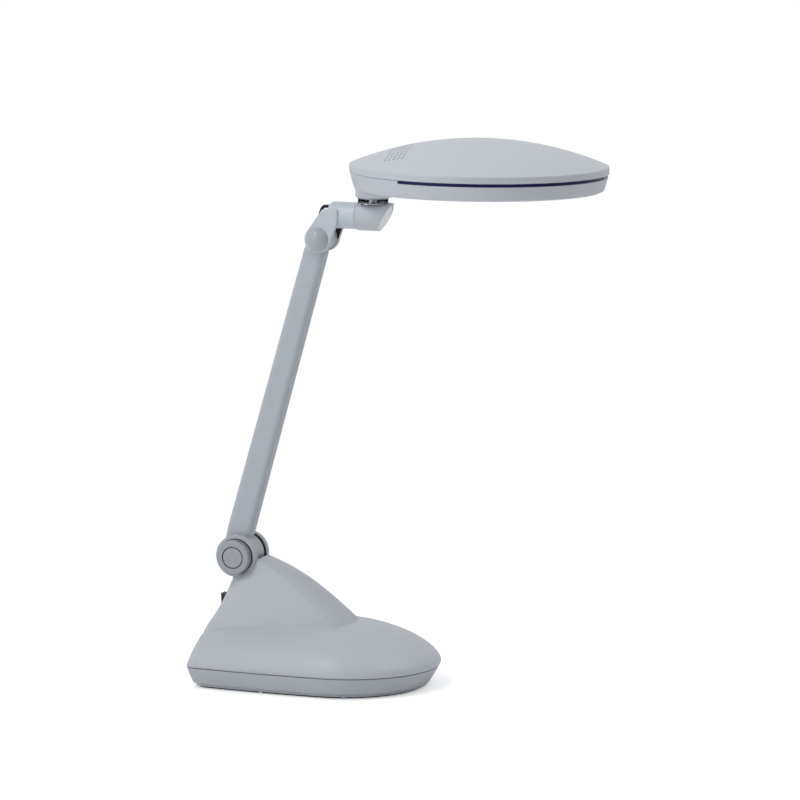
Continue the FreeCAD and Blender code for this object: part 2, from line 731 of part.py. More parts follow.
def base_pan():
    """Lower shell with an inset plinth, ribs under the weight and screw bosses."""
    top = PARTING_HEIGHT - PARTING_GAP
    step = PAD_THICKNESS + PLINTH_HEIGHT
    heights = [top - drop for drop in PAN_RING_DROPS] + [step]
    shell = Part.makeLoft([pan_outline(z, 0.0) for z in heights], True, False)
    plinth = Part.Face(pan_outline(step, PLINTH_INSET)).extrude(
        Vector(0, 0, -PLINTH_HEIGHT))
    shell = shell.fuse(plinth)
    walls = [pan_outline(z, BASE_WALL) for z in (PARTING_HEIGHT, top - PAN_HOLLOW_BREAK)]
    hollow = Part.makeLoft(walls + [pan_outline(PAN_FLOOR, BASE_WALL + PAN_FLOOR_DRAFT)],
                           True, False)
    shell = shell.cut(hollow)
    shell = shell.fuse(pan_lip().cut(grommet_hole()))
    for x, y in screw_places():
        boss = rod_z(PAN_BOSS_RADIUS, x, y, PAD_THICKNESS,
                     PARTING_HEIGHT + POST_LIFT - SEAT_GAP)
        shell = shell.fuse(boss)
        shell = shell.cut(rod_z(SCREW_HOLE_RADIUS, x, y, 0, PARTING_HEIGHT + THROUGH))
        shell = shell.cut(rod_z(SCREW_SEAT_RADIUS, x, y, 0,
                                PAD_THICKNESS + SCREW_SEAT_DEPTH))
    for x, y in tab_places():
        shell = shell.fuse(tab_block(x, y, 0.0, TAB_FOOT, PAD_THICKNESS + OVERCUT))
    return shell.removeSplitter()


def pan_lip():
    """Upstanding lip that locates the cover inside its wall."""
    inner = pan_outline(PARTING_HEIGHT, LIP_INNER_WALLS * BASE_WALL).reversed()
    ledge = Part.Face([pan_outline(PARTING_HEIGHT, LEDGE_OUTER_WALLS * BASE_WALL), inner])
    ledge = ledge.extrude(Vector(0, 0, LEDGE_THICKNESS))
    ledge.translate(Vector(0, 0, -PARTING_GAP - LEDGE_THICKNESS))
    ring = Part.Face([pan_outline(PARTING_HEIGHT, BASE_WALL + LIP_GAP), inner])
    ring = ring.extrude(Vector(0, 0, LIP_RISE + PARTING_GAP + OVERCUT))
    ring.translate(Vector(0, 0, -PARTING_GAP - OVERCUT))
    return ledge.fuse(ring)


def sign(value):
    return 1.0 if value >= 0 else -1.0


def tab_places():
    """Small locating tabs of the lower shell that show in the edge of the pad."""
    half = BASE_HALF_WIDTH - PAN_SIDE_DRAFT - PLINTH_INSET - TAB_EDGE_INSET
    first = BASE_REAR + TAB_REAR_INSET
    places = [(first, half - TAB_REAR_DRAW_IN), (first + TAB_SPACING, half)]
    return places + [(x, -y) for x, y in places]


def tab_block(x, y, room, z0, z1):
    """A tab, or the notch for it when room is left all round."""
    reach = TAB_HALF_LENGTH + room
    inner = y - (TAB_WIDTH + room) * sign(y)
    outer = y + THROUGH * sign(y) if room > 0.0 else y
    return block(x - reach, x + reach, min(inner, outer), max(inner, outer), z0, z1)


def base_pad():
    """Thin dark rubber pad under the plinth, notched for the tabs."""
    plan = Part.Face(pan_outline(PAD_THICKNESS, PLINTH_INSET + PAD_INSET))
    pad = plan.extrude(Vector(0, 0, -PAD_THICKNESS))
    for x, y in tab_places():
        pad = pad.cut(tab_block(x, y, TAB_ROOM, -OVERCUT, PAD_THICKNESS + OVERCUT))
    for x, y in screw_places():
        pad = pad.cut(rod_z(PAD_HOLE_RADIUS, x, y, -OVERCUT, PAD_THICKNESS + OVERCUT))
    return pad


def base_screws():
    seat = PAD_THICKNESS + SCREW_SEAT_DEPTH
    return group([
        screw(x, y, SCREW_HEAD_RADIUS, SCREW_SHANK_RADIUS, seat - SCREW_HEAD_HEIGHT, seat,
              PARTING_HEIGHT + SCREW_POINT_DEPTH) for x, y in screw_places()])


def screw(x, y, head_radius, shank_radius, head_bottom, head_top, tip):
    """Screw driven from below, with a plain slot across its head."""
    head = rod_z(head_radius, x, y, head_bottom, head_top)
    shank = rod_z(shank_radius, x, y, head_bottom + SCREW_DRIVE_DEPTH, tip)
    drive = block(x - SCREW_DRIVE_HALF_WIDTH, x + SCREW_DRIVE_HALF_WIDTH,
                  y - SCREW_DRIVE_HALF_LENGTH, y + SCREW_DRIVE_HALF_LENGTH,
                  head_bottom - OVERCUT, head_bottom + SCREW_DRIVE_DEPTH)
    return head.fuse(shank).cut(drive).removeSplitter()


def ballast_weight():
    slab = block(WEIGHT_REAR, WEIGHT_REAR + WEIGHT_LENGTH,
                 -WEIGHT_HALF_WIDTH, WEIGHT_HALF_WIDTH, PAN_FLOOR, WEIGHT_TOP)
    return slab.makeFillet(WEIGHT_CORNER_RADIUS, edges_where(slab, is_upright))


def control_gear():
    """Electronic control gear for the lamp, in its own small case."""
    rear = WEIGHT_REAR + GEAR_INSET
    case = block(rear, rear + GEAR_LENGTH, -GEAR_HALF_WIDTH, GEAR_HALF_WIDTH,
                 WEIGHT_TOP, WEIGHT_TOP + GEAR_HEIGHT)
    return case.makeFillet(GEAR_EDGE_RADIUS, case.Edges)


def terminal_block():
    rear = WEIGHT_REAR + TERMINAL_INSET
    body = block(rear, rear + TERMINAL_LENGTH, -TERMINAL_HALF_WIDTH, TERMINAL_HALF_WIDTH,
                 WEIGHT_TOP, WEIGHT_TOP + TERMINAL_HEIGHT)
    for k in (-1, 0, 1):
        body = body.cut(rod_z(TERMINAL_HOLE_RADIUS, rear + TERMINAL_LENGTH / 2.0,
                              k * TERMINAL_PITCH, WEIGHT_TOP + TERMINAL_FLOOR,
                              WEIGHT_TOP + THROUGH))
    return body


# Switch on the rear face

def on_rear(shape):
    """Place a piece drawn with +X outward and +Z down the slope on the rear face."""
    placed = shape.copy()
    placed.Placement = Placement(SWITCH_SEAT, SWITCH_TURN)
    return placed


def switch_opening():
    hole = switch_block(-SWITCH_OPENING_DEPTH, SWITCH_OPENING_REACH,
                        SWITCH_CAN_ROOM - SWITCH_CAN_INSET)
    seat = switch_block(-SWITCH_SEAT_DEPTH, SWITCH_OPENING_REACH, SWITCH_SEAT_ROOM)
    return on_rear(hole.fuse(seat))


def switch_block(x0, x1, room):
    """Upright block of the size of the frame, grown by a room all round."""
    half_width = SWITCH_FRAME_WIDTH / 2.0 + room
    half_length = SWITCH_FRAME_LENGTH / 2.0 + room
    return block(x0, x1, -half_width, half_width, -half_length, half_length)


def switch_frame():
    flange = switch_block(-SWITCH_SEAT_DEPTH, SWITCH_FRAME_FLANGE, 0.0)
    rims = edges_where(flange, lambda e: e.CenterOfMass.x > SWITCH_FRAME_FLANGE - 0.01)
    flange = flange.makeFillet(SWITCH_FRAME_EDGE_RADIUS, rims)
    can = switch_block(-SWITCH_CAN_DEPTH, -SWITCH_SEAT_DEPTH, -SWITCH_CAN_INSET)
    frame = flange.fuse(can)
    half_width = ROCKER_WIDTH / 2.0 + ROCKER_ROOM
    half_length = ROCKER_LENGTH / 2.0 + ROCKER_ROOM
    frame = frame.cut(block(-ROCKER_WELL_DEPTH, THROUGH, -half_width, half_width,
                            -half_length, half_length))
    pin_reach = SWITCH_FRAME_WIDTH / 2.0 - SWITCH_CAN_INSET
    pin = rod_y(ROCKER_PIN_RADIUS, -ROCKER_PIN_DEPTH, 0, -pin_reach, pin_reach)
    return on_rear(frame.fuse(pin).removeSplitter())


def switch_rocker():
    """Rocker whose upper end stands out and whose lower end is pressed in."""
    end = ROCKER_LENGTH / 2.0
    lean = math.tan(math.radians(ROCKER_TILT))
    crown = ROCKER_CROWN
    points = [(-5.4, -3.0), (-1.2, -end + 0.9), (crown + 2.2 * end * lean, -end + 1.2),
              (crown, 0.0), (crown - 0.55 * end * lean, end - 0.3), (-2.6, end - 0.6),
              (-5.4, 3.0)]
    body = side_plate(points, -ROCKER_WIDTH / 2, ROCKER_WIDTH / 2)
    body = body.cut(rod_y(ROCKER_PIN_RADIUS + RUNNING_FIT, -ROCKER_PIN_DEPTH, 0,
                          -THROUGH, THROUGH))
    return on_rear(body)


# Cord inlet

def inlet_placed(shape):
    placed = shape.copy()
    depth = BASE_REAR_BULGE * (INLET_SIDE / BASE_REAR_HALF_WIDTH) ** 2
    seat = Vector(rear_line(INLET_HEIGHT) + depth, INLET_SIDE, INLET_HEIGHT)
    placed.Placement = Placement(seat, INLET_TURN)
    return placed


def grommet_hole():
    hole = rod_x(GROMMET_RADIUS + SEAT_GAP, 0, 0, -GROMMET_LENGTH, GROMMET_LENGTH)
    seat = rod_x(GROMMET_FLANGE_RADIUS + SEAT_GAP, 0, 0, -GROMMET_LENGTH,
                 GROMMET_FLANGE_SINK)
    return inlet_placed(hole.fuse(seat))


def cord_grommet():
    """Rubber inlet for the mains lead."""
    rise = GROMMET_FLANGE_RISE
    body = rod_x(GROMMET_RADIUS, 0, 0, -OVERCUT, GROMMET_LENGTH - rise)
    flange = rod_x(GROMMET_FLANGE_RADIUS, 0, 0, -rise, GROMMET_FLANGE_SINK)
    rims = edges_where(flange, lambda e: e.CenterOfMass.x < -rise + 0.01)
    flange = flange.makeFillet(GROMMET_EDGE_RADIUS, rims)
    bore = rod_x(GROMMET_BORE_RADIUS, 0, 0, -THROUGH, THROUGH)
    return inlet_placed(flange.fuse(body).cut(bore).removeSplitter())


# Lower hinge pieces

def hinge_bolt():
    far = EAR_OUTER_HALF
    shank = rod_y(HINGE_BOLT_RADIUS, HINGE.x, HINGE.z, -far - HINGE_BOLT_TIP, far)
    head = rod_y(HINGE_HEAD_RADIUS, HINGE.x, HINGE.z, far, far + HINGE_HEAD_THICKNESS)
    return shank.fuse(head).removeSplitter()


def far_ear_cap():
    """Plain cap over the bolt head on the far ear."""
    far = EAR_OUTER_HALF
    cap = rod_y(EAR_CAP_RADIUS, HINGE.x, HINGE.z, far, far + EAR_CAP_THICKNESS)
    rims = edges_where(cap, lambda e: e.CenterOfMass.y > far + EAR_CAP_THICKNESS - 0.01
                       and is_full_circle(e, EAR_CAP_RADIUS))
    cap = cap.makeFillet(EAR_CAP_EDGE_RADIUS, rims)
    return cap.cut(rod_y(HINGE_HEAD_RADIUS + SEAT_GAP, HINGE.x, HINGE.z,
                         far - OVERCUT, far + EAR_CAP_POCKET))


def knuckle_near():
    return -(EAR_OUTER_HALF - EAR_THICKNESS - SIDE_GAP)


def knuckle_far():
    return -knuckle_near() - SPRING_STACK_THICKNESS - SIDE_GAP


def ring_y(outer, inner, place, y0, y1):
    ring = rod_y(outer, place.x, place.z, y0, y1)
    return ring.cut(rod_y(inner, place.x, place.z, y0 - OVERCUT, y1 + OVERCUT))


def hinge_spring_stack():
    """Disc spring and washer beside the knuckle that keep the friction steady."""
    far = EAR_OUTER_HALF - EAR_THICKNESS
    middle = far - SPRING_STACK_THICKNESS / 2.0
    hole = HINGE_BOLT_RADIUS + SEAT_GAP
    washer = ring_y(SPRING_STACK_RADIUS, hole, HINGE, middle, far)
    disc = ring_y(SPRING_DISC_RADIUS, hole, HINGE, knuckle_far() + SPRING_DISC_PLAY,
                  middle)
    return group([washer, disc])


def tension_knob():
    """Knurled round knob with a ring groove in its face."""
    y_in = -EAR_OUTER_HALF - SIDE_GAP
    y_out = y_in - KNOB_THICKNESS
    knob = rod_y(KNOB_RADIUS, HINGE.x, HINGE.z, y_out, y_in)
    rims = edges_where(knob, lambda e: e.CenterOfMass.y < y_out + 0.01
                       and is_full_circle(e, KNOB_RADIUS))
    knob = knob.makeFillet(KNOB_EDGE_RADIUS, rims)
    pocket = rod_y(KNOB_DISC_RADIUS + KNOB_GROOVE, HINGE.x, HINGE.z,
                   y_out - OVERCUT, y_out + KNOB_POCKET_DEPTH)
    knob = knob.cut(pocket)
    knob = knob.cut(rod_y(HINGE_BOLT_RADIUS + RUNNING_FIT, HINGE.x, HINGE.z,
                          y_out, y_in + OVERCUT))
    half = KNOB_TOOTH_HALF_WIDTH
    reach = KNOB_RADIUS - KNOB_TOOTH_DEPTH + half * math.sqrt(2.0)
    teeth = []
    for k in range(KNOB_TEETH):
        angle = 2 * math.pi * k / KNOB_TEETH
        notch = block(-half, half, y_out + KNOB_TOOTH_START, y_in - KNOB_TOOTH_END,
                      -half, half)
        notch.Placement = Placement(
            Vector(HINGE.x + reach * math.cos(angle), 0, HINGE.z + reach * math.sin(angle)),
            Rotation(Y_AXIS, 45.0 - math.degrees(angle)))
        teeth.append(notch)
    return knob.cut(teeth)


def knob_disc():
    """Plain face of the knob, inside its ring groove."""
    y_out = -EAR_OUTER_HALF - SIDE_GAP - KNOB_THICKNESS
    face = y_out + KNOB_DISC_SINK
    disc = rod_y(KNOB_DISC_RADIUS, HINGE.x, HINGE.z, face, y_out + KNOB_POCKET_DEPTH)
    rims = edges_where(disc, lambda e: e.CenterOfMass.y < face + 0.01
                       and is_full_circle(e, KNOB_DISC_RADIUS))
    return disc.makeFillet(KNOB_DISC_EDGE_RADIUS, rims)


# Arm, drawn upright on the hinge axis and leaned about it at the end

def leaned(shape):
    placed = shape.copy()
    placed.rotate(HINGE, Y_AXIS, ARM_LEAN)
    return placed


def arm_section(up, inset):
    """Rounded oblong section across the arm at a distance above the hinge."""
    share = up / ARM_LENGTH
    width = ARM_WIDTH_BOTTOM + (ARM_WIDTH_TOP - ARM_WIDTH_BOTTOM) * share - 2 * inset
    offset = ARM_OFFSET_BOTTOM + (ARM_OFFSET_TOP - ARM_OFFSET_BOTTOM) * share
    thick = ARM_THICKNESS - 2 * inset
    radius = ARM_EDGE_RADIUS - inset
    x0 = HINGE.x - offset - width / 2.0
    x1 = x0 + width
    y1 = thick / 2.0
    z = HINGE.z + up
    cut = radius * (1.0 - math.sqrt(0.5))
    edges = []
    corners = [(x1, y1, -1, -1), (x0, y1, 1, -1), (x0, -y1, 1, 1), (x1, -y1, -1, 1)]
    previous = None
    first = None
    for k, (x, y, dx, dy) in enumerate(corners):
        along_x = Vector(x + dx * radius, y, z)
        along_y = Vector(x, y + dy * radius, z)
        middle = Vector(x + dx * cut, y + dy * cut, z)
        start, end = (along_y, along_x) if k % 2 == 0 else (along_x, along_y)
        if previous is not None:
            edges.append(line(previous, start))
        else:
            first = start
        edges.append(arc(start, middle, end))
        previous = end
    edges.append(line(previous, first))
    return Part.Wire(edges)


def arm_tube():
    top = ARM_LENGTH - ARM_TUBE_END_BELOW_ELBOW
    outer = Part.makeLoft([arm_section(ARM_TUBE_START, 0), arm_section(top, 0)],
                          True, True)
    inner = Part.makeLoft([arm_section(ARM_TUBE_START - OVERCUT, ARM_WALL),
                           arm_section(top + OVERCUT, ARM_WALL)], True, True)
    return leaned(outer.cut(inner))


def plug_into(up0, up1):
    """A plug that fills the tube between two heights with a small gap."""
    return Part.makeLoft([arm_section(up0, ARM_WALL + SEAT_GAP),
                          arm_section(up1, ARM_WALL + SEAT_GAP)], True, True)


def lower_knuckle():
    """Barrel that turns between the ears, with a plug up into the tube."""
    barrel = rod_y(KNUCKLE_RADIUS, HINGE.x, HINGE.z, knuckle_near(), knuckle_far())
    low = arm_section(KNUCKLE_NECK_START, KNUCKLE_NECK_INSET)
    high = arm_section(ARM_TUBE_START, 0.0)
    neck = Part.makeLoft([low, high], True, True)
    plug = plug_into(ARM_TUBE_START, ARM_TUBE_START + ARM_PLUG_LENGTH)
    body = barrel.fuse(neck).fuse(plug)
    body = body.cut(rod_y(HINGE_BOLT_RADIUS + RUNNING_FIT, HINGE.x, HINGE.z,
                          -THROUGH, THROUGH))
    lead_way = rod_z(LEAD_WAY_RADIUS, HINGE.x - ARM_OFFSET_BOTTOM, 0,
                     HINGE.z + LEAD_WAY_START, HINGE.z + LEAD_WAY_END)
    body = body.cut(lead_way)
    return leaned(body.removeSplitter())


def upper_eye():
    """Eye at the top of the arm, with a plug down into the tube."""
    top = ARM_LENGTH - ARM_TUBE_END_BELOW_ELBOW
    centre = HINGE + Vector(0, 0, ARM_LENGTH)
    eye_half = fork_inner_half() - SIDE_GAP
    eye = rod_y(EYE_RADIUS, centre.x, centre.z, -eye_half, eye_half)
    low = arm_section(top, 0.0)
    high = arm_section(ARM_LENGTH - EYE_NECK_END, EYE_NECK_INSET)
    neck = Part.makeLoft([low, high], True, True)
    neck = neck.common(block(centre.x - THROUGH, centre.x + EYE_RADIUS,
                             -eye_half, eye_half,
                             centre.z - THROUGH, centre.z + THROUGH))
    body = eye.fuse(neck).fuse(plug_into(top - ARM_PLUG_LENGTH, top))
    body = body.cut(rod_y(ELBOW_BOLT_RADIUS + RUNNING_FIT, centre.x, centre.z,
                          -THROUGH, THROUGH))
    gutter = rod_z(CABLE_RADIUS + EYE_GUTTER_ROOM, centre.x - CABLE_BACK_OFFSET, 0,
                   centre.z - THROUGH, centre.z + THROUGH)
    body = body.cut(gutter)
    return leaned(body.removeSplitter())


def arm_cable():
    """Lead inside the arm, between the knuckle and the eye."""
    bottom = Vector(HINGE.x - ARM_OFFSET_BOTTOM, 0, HINGE.z + ARM_CABLE_START)
    top = Vector(HINGE.x - CABLE_BACK_OFFSET, 0, HINGE.z + ARM_LENGTH - CABLE_TAIL)
    return leaned(rod(CABLE_RADIUS, bottom, top))


# Elbow fork and cross tube, drawn level and drooped on saving

def fork_inner_half():
    return FORK_OUTER_HALF - CHEEK_THICKNESS


def cheek(y0, y1):
    """One cheek: round at the pivot, leaning forward up to the tube."""
    x, z = ELBOW.x, ELBOW.z
    r = CHEEK_RADIUS
    top = z + CHEEK_TOP_RISE
    reach = x + CHEEK_FRONT_REACH
    rear_angle = math.radians(CHEEK_REAR_ANGLE)
    front_angle = math.radians(CHEEK_FRONT_ANGLE)
    back_off, drop = CHEEK_REAR_CHAMFER
    points = [(x + r * math.cos(rear_angle), z + r * math.sin(rear_angle)),
              (x + CHEEK_TOP_REAR - back_off, top - drop),
              (x + CHEEK_TOP_REAR, top),
              (reach - CHEEK_FRONT_CHAMFER, top),
              (reach, top - CHEEK_FRONT_CHAMFER),
              (reach - CHEEK_WAIST_DRAW_IN, z + CHEEK_WAIST_RISE),
              (x + r * math.cos(front_angle), z + r * math.sin(front_angle)),
              (x, z)]
    return side_plate(points, y0, y1).fuse(rod_y(r, x, z, y0, y1)).removeSplitter()


def tube_solid(radius, x0, x1):
    return rod_x(radius, 0, TUBE_Z, x0, x1)


def rear_bevel(shape):
    """Bevel the rear end of the tube and its plug alike."""
    rear = ELBOW.x + TUBE_REAR_REACH
    start = rear - OVERCUT
    wide = TUBE_RADIUS + OVERCUT
    cone = turned_x([(start, 0), (start, TUBE_RADIUS - TUBE_REAR_BEVEL - OVERCUT),
                     (rear + TUBE_REAR_BEVEL + OVERCUT, wide), (rear + THROUGH, wide),
                     (rear + THROUGH, 0)])
    return shape.common(cone)


def turned_x(profile):
    """A solid of revolution about the axis of the cross tube."""
    corners = [Vector(x, 0, TUBE_Z + r) for x, r in profile]
    face = Part.Face(Part.makePolygon(corners + corners[:1]))
    return face.revolve(Vector(0, 0, TUBE_Z), X_AXIS, 360)


def elbow_fork():
    """Die-cast fork: two cheeks on a plug that is pressed into the tube."""
    inner = fork_inner_half()
    near = cheek(-FORK_OUTER_HALF, -inner)
    outer_rims = edges_where(near, lambda e: e.BoundBox.YMax < -FORK_OUTER_HALF + 0.01)
    near = near.makeFillet(CHEEK_EDGE_RADIUS, outer_rims)
    start = ELBOW.x + TUBE_REAR_REACH
    plug = tube_solid(TUBE_RADIUS - TUBE_WALL, start, start + PLUG_LENGTH)
    body = both_sides(near).fuse(rear_bevel(plug))
    body = body.cut(rod_y(ELBOW_BOLT_RADIUS + RUNNING_FIT, ELBOW.x, ELBOW.z,
                          -THROUGH, THROUGH))
    body = body.cut(cable_channel())
    return body.removeSplitter()


def cable_channel():
    """Open slot in the top of the plug for the lead."""
    start = ELBOW.x + TUBE_REAR_REACH
    return rod_x(CABLE_RADIUS + CABLE_CHANNEL_ROOM, 0, TUBE_Z + CABLE_ENTRY_RISE,
                 start - OVERCUT, start + PLUG_LENGTH + OVERCUT)


def cross_tube():
    start = ELBOW.x + TUBE_REAR_REACH
    tube = tube_solid(TUBE_RADIUS, start, SEAM_X)
    tube = tube.cut(tube_solid(TUBE_RADIUS - TUBE_WALL, start - OVERCUT,
                               SEAM_X + OVERCUT))
    tube = rear_bevel(tube)
    near = cheek(-FORK_OUTER_HALF - OVERCUT, -fork_inner_half())
    tube = tube.cut(both_sides(near))
    return tube.cut(cable_channel())


def dome_cap(side):
    """Smooth domed cover over the bolt on the outside of a cheek."""
    y0 = FORK_OUTER_HALF
    sphere_radius = (DOME_CAP_RADIUS ** 2 + DOME_CAP_HEIGHT ** 2) / (2 * DOME_CAP_HEIGHT)
    centre_y = y0 + DOME_CAP_HEIGHT - sphere_radius
    ball = Part.makeSphere(sphere_radius, Vector(ELBOW.x, centre_y, ELBOW.z))
    slab = rod_y(THROUGH, ELBOW.x, ELBOW.z, y0, y0 + THROUGH)
    cap = ball.common(slab)
    inner = Part.makeSphere(sphere_radius - DOME_CAP_WALL,
                            Vector(ELBOW.x, centre_y, ELBOW.z)).common(slab)
    cap = cap.cut(inner)
    return cap if side > 0 else mirrored(cap)


def elbow_bolt():
    reach = FORK_OUTER_HALF
    shank = rod_y(ELBOW_BOLT_RADIUS, ELBOW.x, ELBOW.z, -reach - OVERCUT,
                  reach + ELBOW_BOLT_END)
    head = rod_y(ELBOW_HEAD_RADIUS, ELBOW.x, ELBOW.z, -reach - ELBOW_HEAD_HEIGHT, -reach)
    return shank.fuse(head).removeSplitter()


def hexagon_y(across, place, y0, y1):
    radius = across / math.sqrt(3.0)
    points = [(place.x + radius * math.cos(math.radians(60 * k)),
               place.z + radius * math.sin(math.radians(60 * k))) for k in range(6)]
    return side_plate(points, y0, y1)


def elbow_nut():
    reach = FORK_OUTER_HALF
    nut = hexagon_y(ELBOW_NUT_ACROSS, ELBOW, reach, reach + ELBOW_NUT_THICKNESS)
    return nut.cut(rod_y(ELBOW_BOLT_RADIUS, ELBOW.x, ELBOW.z, reach - OVERCUT,
                         reach + THROUGH))


def elbow_cable():
    """Short black lead that bridges the open elbow in one arc.

    It leaves the arm along the arm's lean and enters the tube level, so the arc
    is tangent to both, and its radius is the largest that stays behind the tube.
    """
    along = Vector(math.sin(LEAN), 0, math.cos(LEAN))
    back = Vector(-math.cos(LEAN), 0, math.sin(LEAN))
    z_top = TUBE_Z + CABLE_ENTRY_RISE
    bend = ELBOW_CABLE_BEND
    foot = ELBOW + back * CABLE_BACK_OFFSET
    rise = (z_top - bend * (1.0 - math.sin(LEAN)) - foot.z) / math.cos(LEAN)
    low = foot - along * CABLE_TAIL
    leave = foot + along * rise
    centre = leave - back * bend
    mouth = Vector(centre.x, 0, z_top)
    half_way = (back + Z_AXIS).normalize()
    inside = Vector(ELBOW.x + TUBE_REAR_REACH + PLUG_LENGTH, 0, z_top)
    path = Part.Wire([line(low, leave), arc(leave, centre + half_way * bend, mouth),
                      line(mouth, inside)])
    start = Part.Wire(Part.makeCircle(CABLE_RADIUS, low, along))
    cable = path.makePipeShell([start], True, False)
    print("elbow lead bend", bend, "length", path.Length, "volume share",
          cable.Volume / (math.pi * CABLE_RADIUS ** 2 * path.Length))
    return cable


# Swivel socket

def swivel_bush():
    """Hollow bush pressed in the tube end; the socket turns on its nose."""
    seat = tube_solid(TUBE_RADIUS - TUBE_WALL, SEAM_X - BUSH_SEAT_LENGTH, SEAM_X)
    nose = tube_solid(BUSH_RADIUS, SEAM_X, SEAM_X + BUSH_LENGTH)
    bore = tube_solid(BUSH_BORE_RADIUS, SEAM_X - THROUGH, SEAM_X + THROUGH)
    return seat.fuse(nose).cut(bore).removeSplitter()


def bush_retainer():
    """Washer on the nose of the bush that keeps the socket on."""
    start = SEAM_X + BUSH_LENGTH
    disc = tube_solid(RETAINER_RADIUS, start, start + RETAINER_THICKNESS)
    return disc.cut(tube_solid(BUSH_BORE_RADIUS, start - OVERCUT, start + THROUGH))


def behind_socket_front(offset):
    """Slab that lies behind the oblique front end, moved by an offset."""
    lean = math.radians(SOCKET_CUT_ANGLE)
    top = Vector(SEAM_X + SOCKET_TOP_REACH + offset / math.cos(lean), 0,
                 TUBE_Z + SOCKET_RADIUS)
    down = Vector(-math.sin(lean), 0, -math.cos(lean))
    a = top - down * THROUGH
    b = top + down * THROUGH
    back = SEAM_X - THROUGH
    return side_plate([(a.x, a.z), (b.x, b.z), (back, b.z), (back, a.z)],
                      -THROUGH, THROUGH)


def socket_blank():
    seam = SEAM_X + SOCKET_SEAM_GAP
    barrel = tube_solid(SOCKET_RADIUS, seam, SEAM_X + THROUGH)
    rear_rim = edges_where(barrel, lambda e: e.BoundBox.XMax < seam + 0.01)
    barrel = barrel.makeChamfer(SOCKET_REAR_CHAMFER, rear_rim)
    return barrel.common(behind_socket_front(0.0)).common(socket_round_front(0.0))


def socket_round_front(inset):
    """Room inside the round front of the socket, which follows the neck axis."""
    low = TUBE_Z - THROUGH
    high = TUBE_Z + THROUGH
    round_front = rod_z(SOCKET_FRONT_RADIUS - inset, NECK_X, 0, low, high)
    return round_front.fuse(block(SEAM_X - THROUGH, NECK_X, -THROUGH, THROUGH, low, high))


def end_seat(clearance):
    """Room for the end cap: an oblique slice of a smaller barrel."""
    slab = behind_socket_front(END_CAP_STAND_OUT).cut(
        behind_socket_front(-END_CAP_THICKNESS - clearance))
    room = tube_solid(SOCKET_RADIUS - END_CAP_RIM + clearance, SEAM_X, SEAM_X + THROUGH)
    return room.common(slab).common(socket_round_front(END_CAP_RIM - clearance))


def swivel_socket():
    """Barrel that turns on the tube end and carries the neck of the shade."""
    body = socket_blank()
    deck = TUBE_Z + SOCKET_DECK_RISE
    disc_room = FRICTION_DISC_RADIUS + FRICTION_DISC_ROOM
    body = body.cut(rod_z(disc_room, NECK_X, 0, deck, deck + THROUGH))
    body = body.cut(tube_solid(BUSH_RADIUS + RUNNING_FIT, SEAM_X, SEAM_X + THROUGH))
    body = body.cut(tube_solid(SOCKET_CAVITY_RADIUS, SEAM_X + BUSH_LENGTH - SEAT_GAP,
                               SEAM_X + THROUGH))
    body = body.cut(end_seat(SEAT_GAP))
    pad = rod_z(SOCKET_PAD_RADIUS, NECK_X, 0, DECK_UNDERSIDE, deck)
    body = body.fuse(pad.common(tube_solid(SOCKET_RADIUS - SOCKET_PAD_TRIM,
                                           SEAM_X, SEAM_X + THROUGH)))
    body = body.cut(rod_z(NECK_POST_RADIUS + RUNNING_FIT, NECK_X, 0, TUBE_Z,
                          deck + OVERCUT))
    return body.removeSplitter()


def swivel_end_cap():
    """Slightly domed cap, set into the oblique front end of the socket."""
    lean = math.radians(SOCKET_CUT_ANGLE)
    centre_x = SEAM_X + SOCKET_TOP_REACH - SOCKET_RADIUS * math.tan(lean)
    outward = Vector(math.cos(lean), 0, -math.sin(lean))
    middle = Vector(centre_x, 0, TUBE_Z)
    ball = Part.makeSphere(END_CAP_CROWN_RADIUS,
                           middle + outward * (END_CAP_CROWN - END_CAP_CROWN_RADIUS))
    return end_seat(0.0).common(ball).removeSplitter()


def friction_disc():
    """Steel disc under the neck that the shade pans on."""
    deck = TUBE_Z + SOCKET_DECK_RISE
    disc = rod_z(FRICTION_DISC_RADIUS, NECK_X, 0, deck, deck + FRICTION_DISC_THICKNESS)
    disc = disc.cut(rod_z(NECK_POST_RADIUS + SEAT_GAP, NECK_X, 0, deck - OVERCUT,
                          deck + THROUGH))
    notches = []
    for k in range(FRICTION_DISC_NOTCHES):
        notch = block(FRICTION_DISC_RADIUS - NOTCH_DEPTH, FRICTION_DISC_RADIUS + OVERCUT,
                      -NOTCH_HALF_WIDTH, NOTCH_HALF_WIDTH, deck - OVERCUT, deck + THROUGH)
        notch.rotate(ORIGIN, Z_AXIS, 360.0 * k / FRICTION_DISC_NOTCHES + NOTCH_FIRST_ANGLE)
        notch.translate(Vector(NECK_X, 0, 0))
        notches.append(notch)
    return disc.cut(notches)


# Neck, on the shade side of the pan joint

def neck_post():
    """Hollow post that hangs from the shade floor down into the socket."""
    bottom = DECK_UNDERSIDE - NECK_SPRING_THICKNESS - NECK_NUT_THICKNESS - NECK_POST_FOOT
    top = TRAY_FLOOR + NECK_NUT_THICKNESS + NECK_POST_HEAD
    post = rod_z(NECK_POST_RADIUS, NECK_X, 0, bottom, top)
    flange = rod_z(NECK_FLANGE_RADIUS, NECK_X, 0, BOSS_BOTTOM - NECK_FLANGE_THICKNESS,
                   BOSS_BOTTOM)
    bore = rod_z(NECK_BORE_RADIUS, NECK_X, 0, bottom - OVERCUT, top + OVERCUT)
    return post.fuse(flange).cut(bore).removeSplitter()


